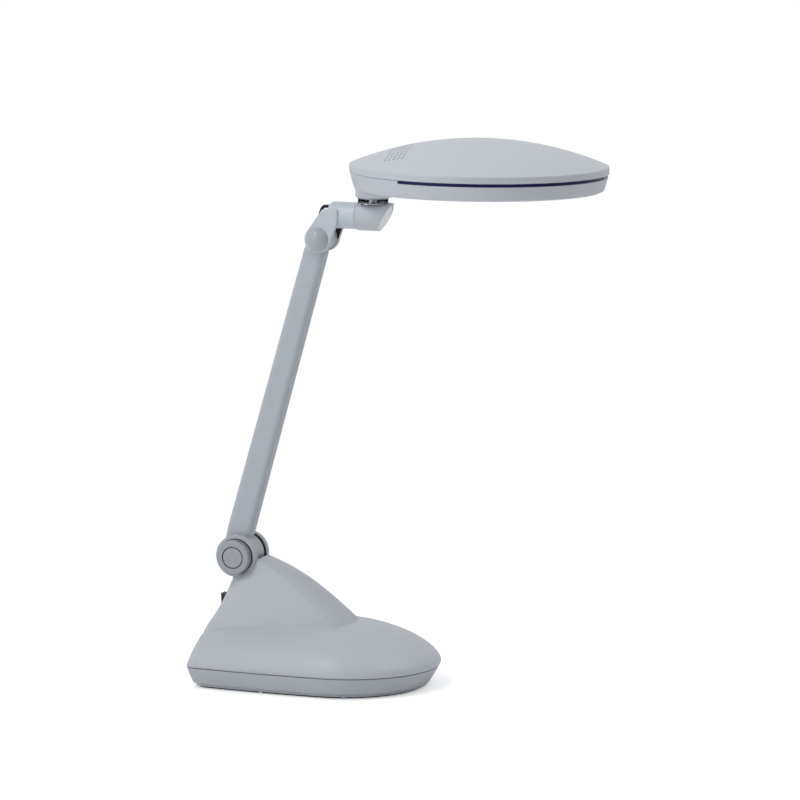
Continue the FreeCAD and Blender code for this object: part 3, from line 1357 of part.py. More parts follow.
def hexagon_z(across, x, y, z0, z1):
    radius = across / math.sqrt(3.0)
    corners = [Vector(x + radius * math.cos(math.radians(60 * k)),
                      y + radius * math.sin(math.radians(60 * k)), z0)
               for k in range(6)]
    face = Part.Face(Part.makePolygon(corners + corners[:1]))
    return face.extrude(Vector(0, 0, z1 - z0))


def neck_nut(z0):
    nut = hexagon_z(NECK_NUT_ACROSS, NECK_X, 0, z0, z0 + NECK_NUT_THICKNESS)
    return nut.cut(rod_z(NECK_POST_RADIUS, NECK_X, 0, z0 - OVERCUT, z0 + THROUGH))


def neck_nuts():
    """One nut under the socket deck and one on the floor of the shade."""
    lower = DECK_UNDERSIDE - NECK_SPRING_THICKNESS - NECK_NUT_THICKNESS
    return group([neck_nut(lower), neck_nut(TRAY_FLOOR)])


def neck_spring():
    """Disc spring that presses up under the socket deck."""
    low = DECK_UNDERSIDE - NECK_SPRING_THICKNESS
    ring = rod_z(NECK_POST_RADIUS + NECK_SPRING_WIDTH, NECK_X, 0, low,
                 DECK_UNDERSIDE - NECK_SPRING_PLAY)
    return ring.cut(rod_z(NECK_POST_RADIUS + SEAT_GAP, NECK_X, 0, low - OVERCUT,
                          low + THROUGH))


# Shade

def shade_wedge(half_angle, radius, z0, z1):
    """Pie slice about the shade axis, centred on the front."""
    middle = Vector(SHADE_X, 0, z0)
    angle = math.radians(half_angle)
    start = Vector(SHADE_X + radius * math.cos(angle), -radius * math.sin(angle), z0)
    end = Vector(SHADE_X + radius * math.cos(angle), radius * math.sin(angle), z0)
    front = Vector(SHADE_X + radius, 0, z0)
    wire = Part.Wire([line(middle, start), arc(start, front, end), line(end, middle)])
    return Part.Face(wire).extrude(Vector(0, 0, z1 - z0))


def cap_sphere_radius(radius, rise):
    return (radius * radius + rise * rise) / (2.0 * rise)


def domed_solid(radius, base_z, rim_z, rise):
    """Cylinder with a spherical cap."""
    ball_radius = cap_sphere_radius(radius, rise)
    ball = Part.makeSphere(ball_radius, Vector(SHADE_X, 0, rim_z + rise - ball_radius))
    return rod_z(radius, SHADE_X, 0, base_z, rim_z + rise + OVERCUT).common(ball)


def vents():
    """Field of short slots, five abreast, swept back towards the centre plane."""
    slots = []
    half_w = VENT_WIDTH / 2.0
    half_l = VENT_LENGTH / 2.0
    z0 = SLOT_Z + RIM_BAND_HEIGHT
    for row in range(-VENT_ROWS_EACH_SIDE, VENT_ROWS_EACH_SIDE + 1):
        y = row * VENT_PITCH_Y
        for column in range(VENT_COLUMNS):
            x = (SHADE_X - SHADE_RADIUS + VENT_FIELD_INSET + column * VENT_PITCH_X
                 + VENT_CHEVRON * abs(y))
            corners = [(half_w, half_l - half_w), (0, half_l), (-half_w, half_l - half_w),
                       (-half_w, half_w - half_l), (0, -half_l), (half_w, half_w - half_l)]
            points = [Vector(x + dx, y + dy, z0) for dx, dy in corners]
            face = Part.Face(Part.makePolygon(points + points[:1]))
            slots.append(face.extrude(Vector(0, 0, THROUGH)))
    return slots


def shade_cover():
    """Domed cover with a vertical rim band and the vent field."""
    low = SLOT_Z + SLOT_HEIGHT / 2.0
    rim = SLOT_Z + RIM_BAND_HEIGHT
    outer = domed_solid(SHADE_RADIUS, low, rim, DOME_RISE)
    rims = edges_where(outer, lambda e: is_full_circle(e, SHADE_RADIUS)
                       and e.CenterOfMass.z > low + RIM_BAND_HEIGHT / 2.0)
    outer = outer.makeFillet(COVER_EDGE_RADIUS, rims)
    inner = domed_solid(SHADE_RADIUS - COVER_RIM_WALL, low - OVERCUT,
                        rim - COVER_RIM_SEAT, DOME_RISE - COVER_WALL)
    shell = outer.cut(inner)
    post_foot = low - COVER_SCREW_POST_DROP
    within = domed_solid(SHADE_RADIUS - COVER_RIM_WALL / 2.0, post_foot,
                         rim - COVER_RIM_SEAT / 2.0, DOME_RISE - COVER_WALL / 2.0)
    for x, y in cover_screw_places():
        post = rod_z(COVER_SCREW_POST_RADIUS, x, y, post_foot, rim + DOME_RISE)
        shell = shell.fuse(post.common(within))
        shell = shell.cut(rod_z(COVER_SCREW_PILOT_RADIUS, x, y, post_foot - OVERCUT, rim))
    return shell.cut(vents()).removeSplitter()


def cover_screw_places():
    reach = SHADE_RADIUS - COVER_SCREW_INSET
    return [(SHADE_X + reach * math.cos(math.radians(a)),
             reach * math.sin(math.radians(a))) for a in COVER_SCREW_ANGLES]


def shade_tray():
    """Lower shell of the shade, with the neck boss at the rear."""
    slot_top = SLOT_Z + SLOT_HEIGHT / 2.0
    top = slot_top - TRAY_TOP_GAP
    bottom = TRAY_BOTTOM
    waist = SHADE_RADIUS - TRAY_WAIST
    foot = SHADE_RADIUS - TRAY_DRAFT
    body = turned(tray_profile(foot, waist, bottom, top), SHADE_X, 0)
    groove = rod_z(SHADE_RADIUS + OVERCUT, SHADE_X, 0, SLOT_Z - SLOT_HEIGHT / 2.0,
                   slot_top)
    groove = groove.cut(rod_z(SHADE_RADIUS - SLOT_DEPTH, SHADE_X, 0, bottom, slot_top))
    body = body.cut(groove.common(shade_wedge(SLOT_HALF_ANGLE, SHADE_RADIUS + THROUGH,
                                              bottom, slot_top)))
    boss = rod_z(NECK_BOSS_RADIUS, NECK_X, 0, BOSS_BOTTOM, bottom + TRAY_EDGE_RADIUS)
    boss = boss.common(rod_z(foot, SHADE_X, 0, BOSS_BOTTOM - OVERCUT, top))
    low_rims = edges_where(boss, lambda e: e.BoundBox.ZMax < BOSS_BOTTOM + 0.01)
    body = body.fuse(boss.makeFillet(NECK_BOSS_EDGE_RADIUS, low_rims))
    body = body.cut(rod_z(foot - TRAY_SIDE_WALL, SHADE_X, 0, TRAY_FLOOR, top + OVERCUT))
    window = rod_z(DIFFUSER_RADIUS + SEAT_GAP, DIFFUSER_X, 0, bottom - OVERCUT,
                   bottom + DIFFUSER_SINK)
    sight = rod_z(DIFFUSER_RADIUS - DIFFUSER_LEDGE, DIFFUSER_X, 0, bottom - OVERCUT, top)
    body = body.cut(window.fuse(sight))
    body = body.cut(rod_z(NECK_POST_RADIUS + SEAT_GAP, NECK_X, 0,
                          BOSS_BOTTOM - OVERCUT, top))
    for x, y in reflector_post_places():
        body = body.fuse(rod_z(REFLECTOR_POST_RADIUS, x, y, bottom + TRAY_POST_SINK,
                               SLOT_Z - REFLECTOR_SEAT_DROP))
    for x, y in cover_screw_places():
        body = body.fuse(rod_z(TRAY_POST_RADIUS, x, y, bottom + TRAY_POST_SINK,
                               slot_top - COVER_SCREW_POST_DROP - SEAT_GAP))
        body = body.cut(rod_z(TRAY_HOLE_RADIUS, x, y, bottom - OVERCUT, slot_top))
        body = body.cut(rod_z(TRAY_SEAT_RADIUS, x, y, bottom - OVERCUT,
                              bottom + TRAY_SEAT_DEPTH))
    return body.removeSplitter()


def tray_profile(foot, waist, bottom, top):
    """Half section of the tray: flat floor, bevelled edge, drafted side."""
    edge = TRAY_EDGE_RADIUS
    turn = edge * (1.0 - math.sqrt(0.5))
    return [(0, bottom), (foot - edge, bottom), (foot - turn, bottom + turn),
            (foot, bottom + edge), (waist, SLOT_Z), (waist, top), (0, top)]


def reflector_post_places():
    reach = SHADE_RADIUS - REFLECTOR_POST_INSET
    return [(SHADE_X + reach * math.cos(math.radians(a)),
             reach * math.sin(math.radians(a))) for a in REFLECTOR_POST_ANGLES]


def cover_screws():
    seat = TRAY_BOTTOM + TRAY_SEAT_DEPTH
    return group([
        screw(x, y, COVER_SCREW_HEAD_RADIUS, COVER_SCREW_SHANK_RADIUS,
              TRAY_BOTTOM + TRAY_POST_SINK, seat, SLOT_Z + COVER_SCREW_TIP)
        for x, y in cover_screw_places()])


def accent_ring():
    """Violet translucent strip in the slot, in two halves that meet at the front."""
    low = SLOT_Z - SLOT_HEIGHT / 2.0 + ACCENT_PLAY
    high = SLOT_Z + SLOT_HEIGHT / 2.0 - TRAY_TOP_GAP - ACCENT_PLAY
    ring = rod_z(SHADE_RADIUS - ACCENT_RECESS, SHADE_X, 0, low, high)
    ring = ring.cut(rod_z(SHADE_RADIUS - SLOT_DEPTH + ACCENT_PLAY, SHADE_X, 0,
                          low - OVERCUT, high + OVERCUT))
    ring = ring.common(shade_wedge(SLOT_HALF_ANGLE - ACCENT_END_PLAY,
                                   SHADE_RADIUS + THROUGH, low, high))
    half_gap = ACCENT_FRONT_GAP / 2.0
    return ring.cut(block(SHADE_X, SHADE_X + SHADE_RADIUS, -half_gap, half_gap,
                          low - OVERCUT, high + OVERCUT))


def diffuser():
    """Round panel set into the floor of the tray from below."""
    seat = TRAY_BOTTOM + DIFFUSER_SINK
    low = seat - DIFFUSER_THICKNESS
    panel = rod_z(DIFFUSER_RADIUS, DIFFUSER_X, 0, low, seat)
    rims = edges_where(panel, lambda e: e.BoundBox.ZMax < low + 0.01)
    return panel.makeFillet(DIFFUSER_EDGE_RADIUS, rims)


def lamp_limb(y):
    limb = rod_x(LAMP_TUBE_RADIUS, y, LAMP_Z, LIMB_REAR, LIMB_FRONT)
    return limb.fuse(Part.makeSphere(LAMP_TUBE_RADIUS, Vector(LIMB_FRONT, y, LAMP_Z)))


def lamp_tubes():
    """Compact fluorescent lamp: two limbs bridged near the far end."""
    half = LAMP_TUBE_SPACING / 2.0
    bridge = rod_y(LAMP_BRIDGE_RADIUS, LIMB_FRONT - LAMP_BRIDGE_INSET, LAMP_Z, -half, half)
    return lamp_limb(-half).fuse(lamp_limb(half)).fuse(bridge).removeSplitter()


def lamp_base():
    shell = block(LAMP_REAR + LAMP_BASE_GAP, LIMB_REAR,
                  -LAMP_BASE_HALF_WIDTH, LAMP_BASE_HALF_WIDTH,
                  LAMP_Z - LAMP_BASE_HALF_HEIGHT, LAMP_Z + LAMP_BASE_HALF_HEIGHT)
    return shell.makeFillet(LAMP_BASE_EDGE_RADIUS, shell.Edges)


def lamp_holder():
    front = LAMP_REAR + LAMP_BASE_GAP
    body = block(front - LAMP_HOLDER_LENGTH, front,
                 -LAMP_HOLDER_HALF_WIDTH, LAMP_HOLDER_HALF_WIDTH,
                 TRAY_FLOOR, LAMP_Z + LAMP_HOLDER_TOP)
    return body.makeFillet(LAMP_HOLDER_EDGE_RADIUS, edges_where(body, is_upright))


def lamp_clip():
    """Spring clip that holds the limbs under the reflector."""
    x = LIMB_REAR + CLIP_SHARE * (LIMB_FRONT - LIMB_REAR)
    half = LAMP_TUBE_SPACING / 2.0
    under = SLOT_Z - REFLECTOR_SEAT_DROP + REFLECTOR_RISE
    bridge = block(x, x + CLIP_WIDTH, -half - CLIP_EAR, half + CLIP_EAR,
                   LAMP_Z + CLIP_RISE, under)
    for side in (-1, 1):
        bridge = bridge.cut(rod_x(LAMP_TUBE_RADIUS + CLIP_PLAY, side * half, LAMP_Z,
                                  x - OVERCUT, x + CLIP_WIDTH + OVERCUT))
    return bridge


def reflector():
    """Shallow pressed reflector above the lamp, on four posts of the tray."""
    rim = SLOT_Z - REFLECTOR_SEAT_DROP
    crown = rim + REFLECTOR_RISE
    under = [(0, crown), (REFLECTOR_RADIUS - REFLECTOR_FLAT_INSET, crown),
             (REFLECTOR_RADIUS - REFLECTOR_BEND_INSET, crown - REFLECTOR_BEND_DROP),
             (REFLECTOR_RADIUS - REFLECTOR_RIM_WIDTH, rim), (REFLECTOR_RADIUS, rim)]
    upper = [(r, z + REFLECTOR_SHEET) for r, z in reversed(under)]
    dish = turned(under + upper, SHADE_X, 0)
    half_width = LAMP_HOLDER_HALF_WIDTH + OVERCUT
    front = LAMP_REAR + LAMP_BASE_GAP + OVERCUT
    notch = block(SHADE_X - SHADE_RADIUS, front, -half_width, half_width,
                  rim - OVERCUT, crown + THROUGH)
    return dish.cut(notch)


def build():
    os.makedirs("parts", exist_ok=True)
    save("base_cover", base_cover())
    save("base_pan", base_pan())
    save("base_pad", base_pad())
    save("base_screws", base_screws())
    save("ballast_weight", ballast_weight())
    save("control_gear", control_gear())
    save("terminal_block", terminal_block())
    save("switch_frame", switch_frame())
    save("switch_rocker", switch_rocker())
    save("cord_grommet", cord_grommet())
    save("hinge_bolt", hinge_bolt())
    save("far_ear_cap", far_ear_cap())
    save("hinge_spring_stack", hinge_spring_stack())
    save("tension_knob", tension_knob())
    save("knob_disc", knob_disc())
    save("arm_tube", arm_tube())
    save("lower_knuckle", lower_knuckle())
    save("upper_eye", upper_eye())
    save("arm_cable", arm_cable())
    save("elbow_fork", elbow_fork(), True)
    save("cross_tube", cross_tube(), True)
    save("near_dome_cap", dome_cap(-1), True)
    save("far_dome_cap", dome_cap(1), True)
    save("elbow_bolt", elbow_bolt(), True)
    save("elbow_nut", elbow_nut(), True)
    save("elbow_cable", elbow_cable(), True)
    save("swivel_bush", swivel_bush(), True)
    save("bush_retainer", bush_retainer(), True)
    save("swivel_socket", swivel_socket(), True)
    save("swivel_end_cap", swivel_end_cap(), True)
    save("friction_disc", friction_disc(), True)
    save("neck_post", neck_post(), True)
    save("neck_nuts", neck_nuts(), True)
    save("neck_spring", neck_spring(), True)
    save("shade_tray", shade_tray(), True)
    save("shade_cover", shade_cover(), True)
    save("cover_screws", cover_screws(), True)
    save("accent_ring", accent_ring(), True)
    save("diffuser", diffuser(), True)
    save("reflector", reflector(), True)
    save("lamp_tubes", lamp_tubes(), True)
    save("lamp_base", lamp_base(), True)
    save("lamp_holder", lamp_holder(), True)
    save("lamp_clip", lamp_clip(), True)
    inlet = inlet_placed(Part.Vertex(0, 0, 0)).Point
    print("hinge", tuple(HINGE), "elbow", tuple(ELBOW), "inlet", tuple(inlet))
    pivot = SWITCH_SEAT + SWITCH_TURN.multVec(Vector(-ROCKER_PIN_DEPTH, 0, 0))
    print("switch pivot", tuple(pivot))
    droop = Placement(ORIGIN, Rotation(Y_AXIS, SHADE_DROOP), ELBOW)
    print("roll axis point", tuple(droop.multVec(Vector(SEAM_X, 0, TUBE_Z))))
    print("neck point", tuple(droop.multVec(Vector(NECK_X, 0, BOSS_BOTTOM))))


build()
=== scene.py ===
import json
import math

import bmesh
import bpy
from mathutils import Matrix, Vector
from mathutils.bvhtree import BVHTree


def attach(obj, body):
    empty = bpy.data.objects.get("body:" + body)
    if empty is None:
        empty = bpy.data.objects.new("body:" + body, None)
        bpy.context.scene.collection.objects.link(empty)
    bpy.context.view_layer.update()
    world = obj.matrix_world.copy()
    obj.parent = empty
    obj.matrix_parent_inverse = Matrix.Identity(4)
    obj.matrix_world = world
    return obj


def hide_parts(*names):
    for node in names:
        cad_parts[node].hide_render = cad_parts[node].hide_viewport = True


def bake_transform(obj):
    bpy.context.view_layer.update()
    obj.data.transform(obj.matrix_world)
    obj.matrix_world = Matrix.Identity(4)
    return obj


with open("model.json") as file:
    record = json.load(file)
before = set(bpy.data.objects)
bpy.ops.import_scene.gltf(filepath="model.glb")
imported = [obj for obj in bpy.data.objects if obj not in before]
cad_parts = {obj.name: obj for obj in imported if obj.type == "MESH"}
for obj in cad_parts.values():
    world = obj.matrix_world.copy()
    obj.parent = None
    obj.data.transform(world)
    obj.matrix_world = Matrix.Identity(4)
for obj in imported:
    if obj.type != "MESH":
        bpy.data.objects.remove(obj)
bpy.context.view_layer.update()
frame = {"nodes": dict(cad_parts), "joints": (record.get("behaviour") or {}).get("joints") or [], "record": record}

SCENE = bpy.context.scene

# Camera, fitted to the photograph
IMAGE_SIZE = 800
CAMERA_YAW = math.radians(19.3)
CAMERA_PITCH = math.radians(8.06)
CAMERA_DISTANCE = 4.185
CAMERA_FOCAL_PIXELS = 4650
CAMERA_TARGET = Vector((-0.0017, 0.0, 0.2624))
SENSOR_WIDTH = 36.0
CLIP_START = 0.1
CLIP_END = 60.0

# Light and backdrop
WORLD_LIT_SIDE = 0.56
WORLD_DARK_SIDE = 0.16
WORLD_DARK_WAY = (0.72, -0.62, -0.31)
WORLD_FALL_START = -0.45
WORLD_FALL_END = 0.85
WORLD_GLOSS = 1.25
WORLD_TINT = (0.96, 0.98, 1.0, 1.0)
WHITE = (1.0, 1.0, 1.0, 1.0)
FLOOR_SIZE = 8.0
FLOOR_DROP = 0.0004
FLOOR_COLOUR = (0.94, 0.945, 0.95, 1.0)
FLOOR_ROUGHNESS = 0.9
FLOOR_GLOSS = 0.1
FLOOR_LIFT = 0.42
FLOOR_FADE_START = 0.32
FLOOR_FADE_END = 0.75
LIGHT_TARGET = (0.0, 0.0, 0.25)
LIGHTS = (
    ("KeyHighLeft", (-0.65, -1.34, 2.38), 0.6, 13.5),
    ("FillLeft", (-1.06, -2.20, 1.14), 1.3, 10.5),
    ("TopRight", (1.3, 0.2, 2.2), 1.2, 11.0),
)


def srgb(red, green, blue):
    """Linear colour from 0 to 255 screen values."""
    def linear(value):
        share = value / 255.0
        return share / 12.92 if share <= 0.04045 else ((share + 0.055) / 1.055) ** 2.4
    return (linear(red), linear(green), linear(blue), 1.0)


# Shader helpers

BEVEL_SAMPLES = 4
EDGE_RADIUS = 0.0006
NOISE_ROUGHNESS = 0.55


class Shader:
    """A node material with the few building blocks that the finishes share."""

    def __init__(self, name):
        self.material = bpy.data.materials.new(name)
        self.material.use_nodes = True
        self.nodes = self.material.node_tree.nodes
        self.links = self.material.node_tree.links
        self.surface = self.nodes["Principled BSDF"]
        self.coordinates = self.nodes.new("ShaderNodeTexCoord").outputs["Object"]

    def set(self, **values):
        for key, value in values.items():
            self.surface.inputs[key.replace("_", " ")].default_value = value

    def noise(self, scale, detail=3.0, stretch=None):
        source = self.coordinates
        if stretch:
            mapping = self.nodes.new("ShaderNodeMapping")
            mapping.inputs["Scale"].default_value = stretch
            self.links.new(source, mapping.inputs["Vector"])
            source = mapping.outputs["Vector"]
        texture = self.nodes.new("ShaderNodeTexNoise")
        texture.inputs["Scale"].default_value = scale
        texture.inputs["Detail"].default_value = detail
        texture.inputs["Roughness"].default_value = NOISE_ROUGHNESS
        self.links.new(source, texture.inputs["Vector"])
        return texture.outputs["Fac"]

    def ramp(self, factor, low, high, start=0.3, end=0.7):
        node = self.nodes.new("ShaderNodeValToRGB")
        node.color_ramp.elements[0].position = start
        node.color_ramp.elements[0].color = low
        node.color_ramp.elements[1].position = end
        node.color_ramp.elements[1].color = high
        self.links.new(factor, node.inputs["Fac"])
        return node.outputs["Color"]

    def range(self, factor, low, high, start=0.3, end=0.7):
        node = self.nodes.new("ShaderNodeMapRange")
        node.inputs["From Min"].default_value = start
        node.inputs["From Max"].default_value = end
        node.inputs["To Min"].default_value = low
        node.inputs["To Max"].default_value = high
        self.links.new(factor, node.inputs["Value"])
        return node.outputs["Result"]

    def drive(self, socket, output):
        self.links.new(output, self.surface.inputs[socket])

    def bump(self, height, strength, distance, under=None):
        node = self.nodes.new("ShaderNodeBump")
        node.inputs["Strength"].default_value = strength
        node.inputs["Distance"].default_value = distance
        self.links.new(height, node.inputs["Height"])
        if under is not None:
            self.links.new(under, node.inputs["Normal"])
        self.drive("Normal", node.outputs["Normal"])
        return node.outputs["Normal"]

    def soft_edges(self):
        """Normals rounded over the edges of the mesh."""
        node = self.nodes.new("ShaderNodeBevel")
        node.samples = BEVEL_SAMPLES
        node.inputs["Radius"].default_value = EDGE_RADIUS
        return node.outputs["Normal"]


def moulded_plastic(name, colour, darker, roughness=0.38):
    """Injection-moulded plastic with a fine eroded texture and a soft sheen."""
    shader = Shader(name)
    patches = shader.noise(scale=9.0, detail=4.0)
    shader.drive("Base Color", shader.ramp(patches, darker, colour, start=0.25, end=0.75))
    shader.drive("Roughness", shader.range(shader.noise(scale=60.0), low=roughness - 0.05,
                                           high=roughness + 0.07))
    grain = shader.bump(shader.noise(scale=2600.0, detail=2.0), strength=0.10,
                        distance=0.0004, under=shader.soft_edges())
    shader.bump(shader.noise(scale=55.0, detail=2.0), strength=0.05, distance=0.0006,
                under=grain)
    shader.set(Specular_IOR_Level=0.42)
    return shader.material


def powder_paint(name, colour, darker):
    """Powder-coated metal: smoother than the plastic, with a slight orange peel."""
    shader = Shader(name)
    patches = shader.noise(scale=12.0)
    shader.drive("Base Color", shader.ramp(patches, darker, colour, start=0.25, end=0.75))
    shader.drive("Roughness", shader.range(shader.noise(scale=90.0), low=0.34, high=0.44))
    peel = shader.bump(shader.noise(scale=900.0, detail=1.0), strength=0.10,
                       distance=0.0005, under=shader.soft_edges())
    shader.bump(shader.noise(scale=14.0, detail=1.0), strength=0.03, distance=0.001,
                under=peel)
    shader.set(Specular_IOR_Level=0.5, Coat_Weight=0.12, Coat_Roughness=0.25)
    return shader.material


def dark_rubber(name, colour, worn):
    """Matt rubber or rough casting, a little worn in patches."""
    shader = Shader(name)
    shader.drive("Base Color", shader.ramp(shader.noise(scale=70.0, detail=5.0), colour, worn))
    shader.drive("Roughness", shader.range(shader.noise(scale=240.0), low=0.62, high=0.8))
    shader.bump(shader.noise(scale=1800.0, detail=2.0), strength=0.25, distance=0.0004)
    return shader.material


def plated_steel(name, colour, darker, stretch):
    """Bright metal whose grain is drawn out along one axis."""
    shader = Shader(name)
    grain = shader.noise(scale=220.0, detail=4.0, stretch=stretch)
    shader.drive("Base Color", shader.ramp(grain, darker, colour))
    shader.drive("Roughness", shader.range(shader.noise(scale=300.0, stretch=stretch),
                                           low=0.2, high=0.36))
    shader.bump(shader.noise(scale=900.0, detail=2.0, stretch=stretch), strength=0.12,
                distance=0.0003)
    shader.set(Metallic=1.0)
    return shader.material


GREYS = {
    "grey_plastic": (srgb(206, 211, 218), srgb(203, 208, 215)),
    "grey_paint": (srgb(201, 208, 215), srgb(198, 205, 212)),
}
MATERIALS = {
    "grey_plastic": moulded_plastic("GreyPlastic", *GREYS["grey_plastic"]),
    "grey_paint": powder_paint("GreyPaint", *GREYS["grey_paint"]),
    "white_plastic": moulded_plastic("WhitePlastic", srgb(247, 248, 251),
                                     srgb(244, 246, 248), 0.30),
    "violet_acrylic": moulded_plastic("VioletAcrylic", srgb(26, 20, 86),
                                      srgb(20, 15, 74), 0.2),
    "diffuser_acrylic": moulded_plastic("DiffuserAcrylic", srgb(238, 240, 238),
                                        srgb(230, 233, 232), 0.3),
    "black_plastic": moulded_plastic("BlackPlastic", srgb(34, 34, 37), srgb(26, 26, 29), 0.3),
    "black_rubber": dark_rubber("BlackRubber", srgb(20, 20, 22), srgb(30, 30, 33)),
    "zinc_steel": plated_steel("ZincSteel", srgb(205, 207, 211), srgb(168, 171, 176),
                               (1.0, 1.0, 6.0)),
    "cast_weight": dark_rubber("CastWeight", srgb(70, 70, 72), srgb(94, 94, 96)),
    "bright_sheet": plated_steel("BrightSheet", srgb(232, 233, 235), srgb(214, 216, 219),
                                 (6.0, 1.0, 1.0)),
    "lamp_glass": moulded_plastic("LampGlass", srgb(244, 244, 240), srgb(238, 238, 233), 0.15),
}

# Nodes whose grey is a share of their slot's, lighter or darker copies that paint in the light and shade each part
# takes (the fork's paler share is also its own paler paint): finish, share and, for plastic, roughness
LIGHT_AND_SHADE_SHARES = {
    "base_cover": ("PlasticCover", 0.93),
    "base_pan": ("PlasticPan", 0.84),
    "far_ear_cap": ("PlasticPan", 0.84),
    "tension_knob": ("PlasticKnob", 0.69, 0.30),
    "knob_disc": ("PlasticKnob", 0.69, 0.30),
    "lower_knuckle": ("PlasticKnuckle", 0.87),
    "upper_eye": ("PlasticKnuckle", 0.87),
    "near_dome_cap": ("PlasticCap", 0.80, 0.22),
    "far_dome_cap": ("PlasticCap", 0.80, 0.22),
    "swivel_socket": ("PlasticSocket", 0.94),
    "arm_tube": ("PaintArm", 0.88),
    "elbow_fork": ("PaintFork", 1.06),
    "cross_tube": ("PaintFork", 1.06),
}


def lit_or_shaded_copy(slot, name, share, *roughness):
    """The slot's finish under its own name, with the colour scaled by a share that paints in light or shade."""
    make = powder_paint if slot == "grey_paint" else moulded_plastic
    light, dark = GREYS[slot]
    return make(name, scaled(light, share), scaled(dark, share), *roughness)


def scaled(colour, share):
    return tuple(min(1.0, value * share) for value in colour[:3]) + (1.0,)


def dress_nodes():
    """Gives every CAD node the finish of its slot, in a lighter or darker copy with painted light and shade where
    it has one.
    """
    slots = {row["node"]: row["material_slot"] for row in frame["record"]["subparts"]}
    made = {}
    for name, node in frame["nodes"].items():
        material = MATERIALS[slots[name]]
        if name in LIGHT_AND_SHADE_SHARES:
            title = LIGHT_AND_SHADE_SHARES[name][0]
            if title not in made:
                made[title] = lit_or_shaded_copy(slots[name], *LIGHT_AND_SHADE_SHARES[name])
            material = made[title]
        node.data.materials.clear()
        node.data.materials.append(material)


# Mesh helpers

WELD_DISTANCE = 2e-6
SMOOTH_ANGLE = 40.0


def new_piece(name, points, faces, slot, smooth_angle=SMOOTH_ANGLE):
    """Piece from points and faces, in the finish of a slot."""
    mesh = bpy.data.meshes.new(name)
    mesh.from_pydata([tuple(point) for point in points], [], faces)
    mesh.validate()
    piece = bpy.data.objects.new(name, mesh)
    SCENE.collection.objects.link(piece)
    build = bmesh.new()
    build.from_mesh(mesh)
    bmesh.ops.recalc_face_normals(build, faces=build.faces)
    build.to_mesh(mesh)
    build.free()
    mesh.shade_smooth()
    mesh.set_sharp_from_angle(angle=math.radians(smooth_angle))
    mesh.materials.append(MATERIALS[slot])
    return piece


def wear(piece, node):
    """Gives a piece the finish of a CAD node."""
    piece.data.materials.clear()
    piece.data.materials.append(frame["nodes"][node].data.materials[0])


def strip_faces(rows, columns, closed_rows):
    """Faces of a grid whose columns close on themselves, with caps at open ends."""
    faces = []
    last = rows if closed_rows else rows - 1
    for i in range(last):
        j = (i + 1) % rows
        for k in range(columns):
            m = (k + 1) % columns
            faces.append((i * columns + k, i * columns + m, j * columns + m,
                          j * columns + k))
    if not closed_rows:
        faces.append(tuple(range(columns)))
        faces.append(tuple((rows - 1) * columns + k for k in reversed(range(columns))))
    return faces


def welded(node):
    """The node's mesh with its split edges joined, for reading only."""
    build = bmesh.new()
    build.from_mesh(frame["nodes"][node].data)
    bmesh.ops.remove_doubles(build, verts=build.verts, dist=WELD_DISTANCE)
    build.normal_update()
    return build


def chains(edges):
    """Edges joined into lists of vertices, longest first."""
    links = {}
    for edge in edges:
        for a, b in (edge.verts, reversed(edge.verts)):
            links.setdefault(a, []).append(b)
    found = []
    left = set(links)
    while left:
        ends = [v for v in left if len(links[v]) == 1]
        start = min(ends or left, key=lambda v: v.index)
        chain = [start]
        left.discard(start)
        while True:
            onward = [v for v in links[chain[-1]] if v in left]
            if not onward:
                break
            chain.append(onward[0])
            left.discard(onward[0])
        found.append(chain)
    return sorted(found, key=len, reverse=True)


def resampled(points, extras, step):
    """Points at an even spacing along a line, with values carried along."""
    out_points = [points[0].copy()]
    out_extras = [extras[0]]
    need = step
    for a, b, ea, eb in zip(points, points[1:], extras, extras[1:]):
        span = (b - a).length
        at = 0.0
        while span - at >= need:
            at += need
            share = at / span
            out_points.append(a.lerp(b, share))
            out_extras.append([u.lerp(v, share) for u, v in zip(ea, eb)])
            need = step
        need -= span - at
    return out_points, out_extras


def smoothed(vectors, passes):
    """Vectors averaged with their neighbours, with both ends kept."""
    for _ in range(passes):
        inner = [(a + b * 2.0 + c) * 0.25 for a, b, c in zip(vectors, vectors[1:], vectors[2:])]
        vectors = [vectors[0]] + inner + [vectors[-1]]
    return vectors


# Foot of the tower: a soft bead along the sides and a small concave fillet in front

FOOT_RADIUS = 0.0018
FOOT_LOW = 0.040
FOOT_HIGH = 0.0595
FOOT_UPWARD = 0.5
FOOT_LEAST_ANGLE = math.radians(12.0)
FOOT_STEP = 0.0015
FOOT_NORMAL_PASSES = 12
FOOT_POINT_PASSES = 4
FOOT_ARC = 6
FOOT_SINK = 0.0004
FOOT_END_SIZE = 0.15
FOOT_END_ROWS = 10.0
FOOT_SMOOTH_ANGLE = 60.0
BEAD_RISE = 0.0005
BEAD_RADIUS = 0.0026
BEAD_START = 0.0003
BEAD_ANGLES = (100.0, 86.0, 70.0, 50.0)
BEAD_RUN = 0.0062
BEAD_SINK = 0.00005
BEAD_SIDE_SHARE = (0.62, 0.86)


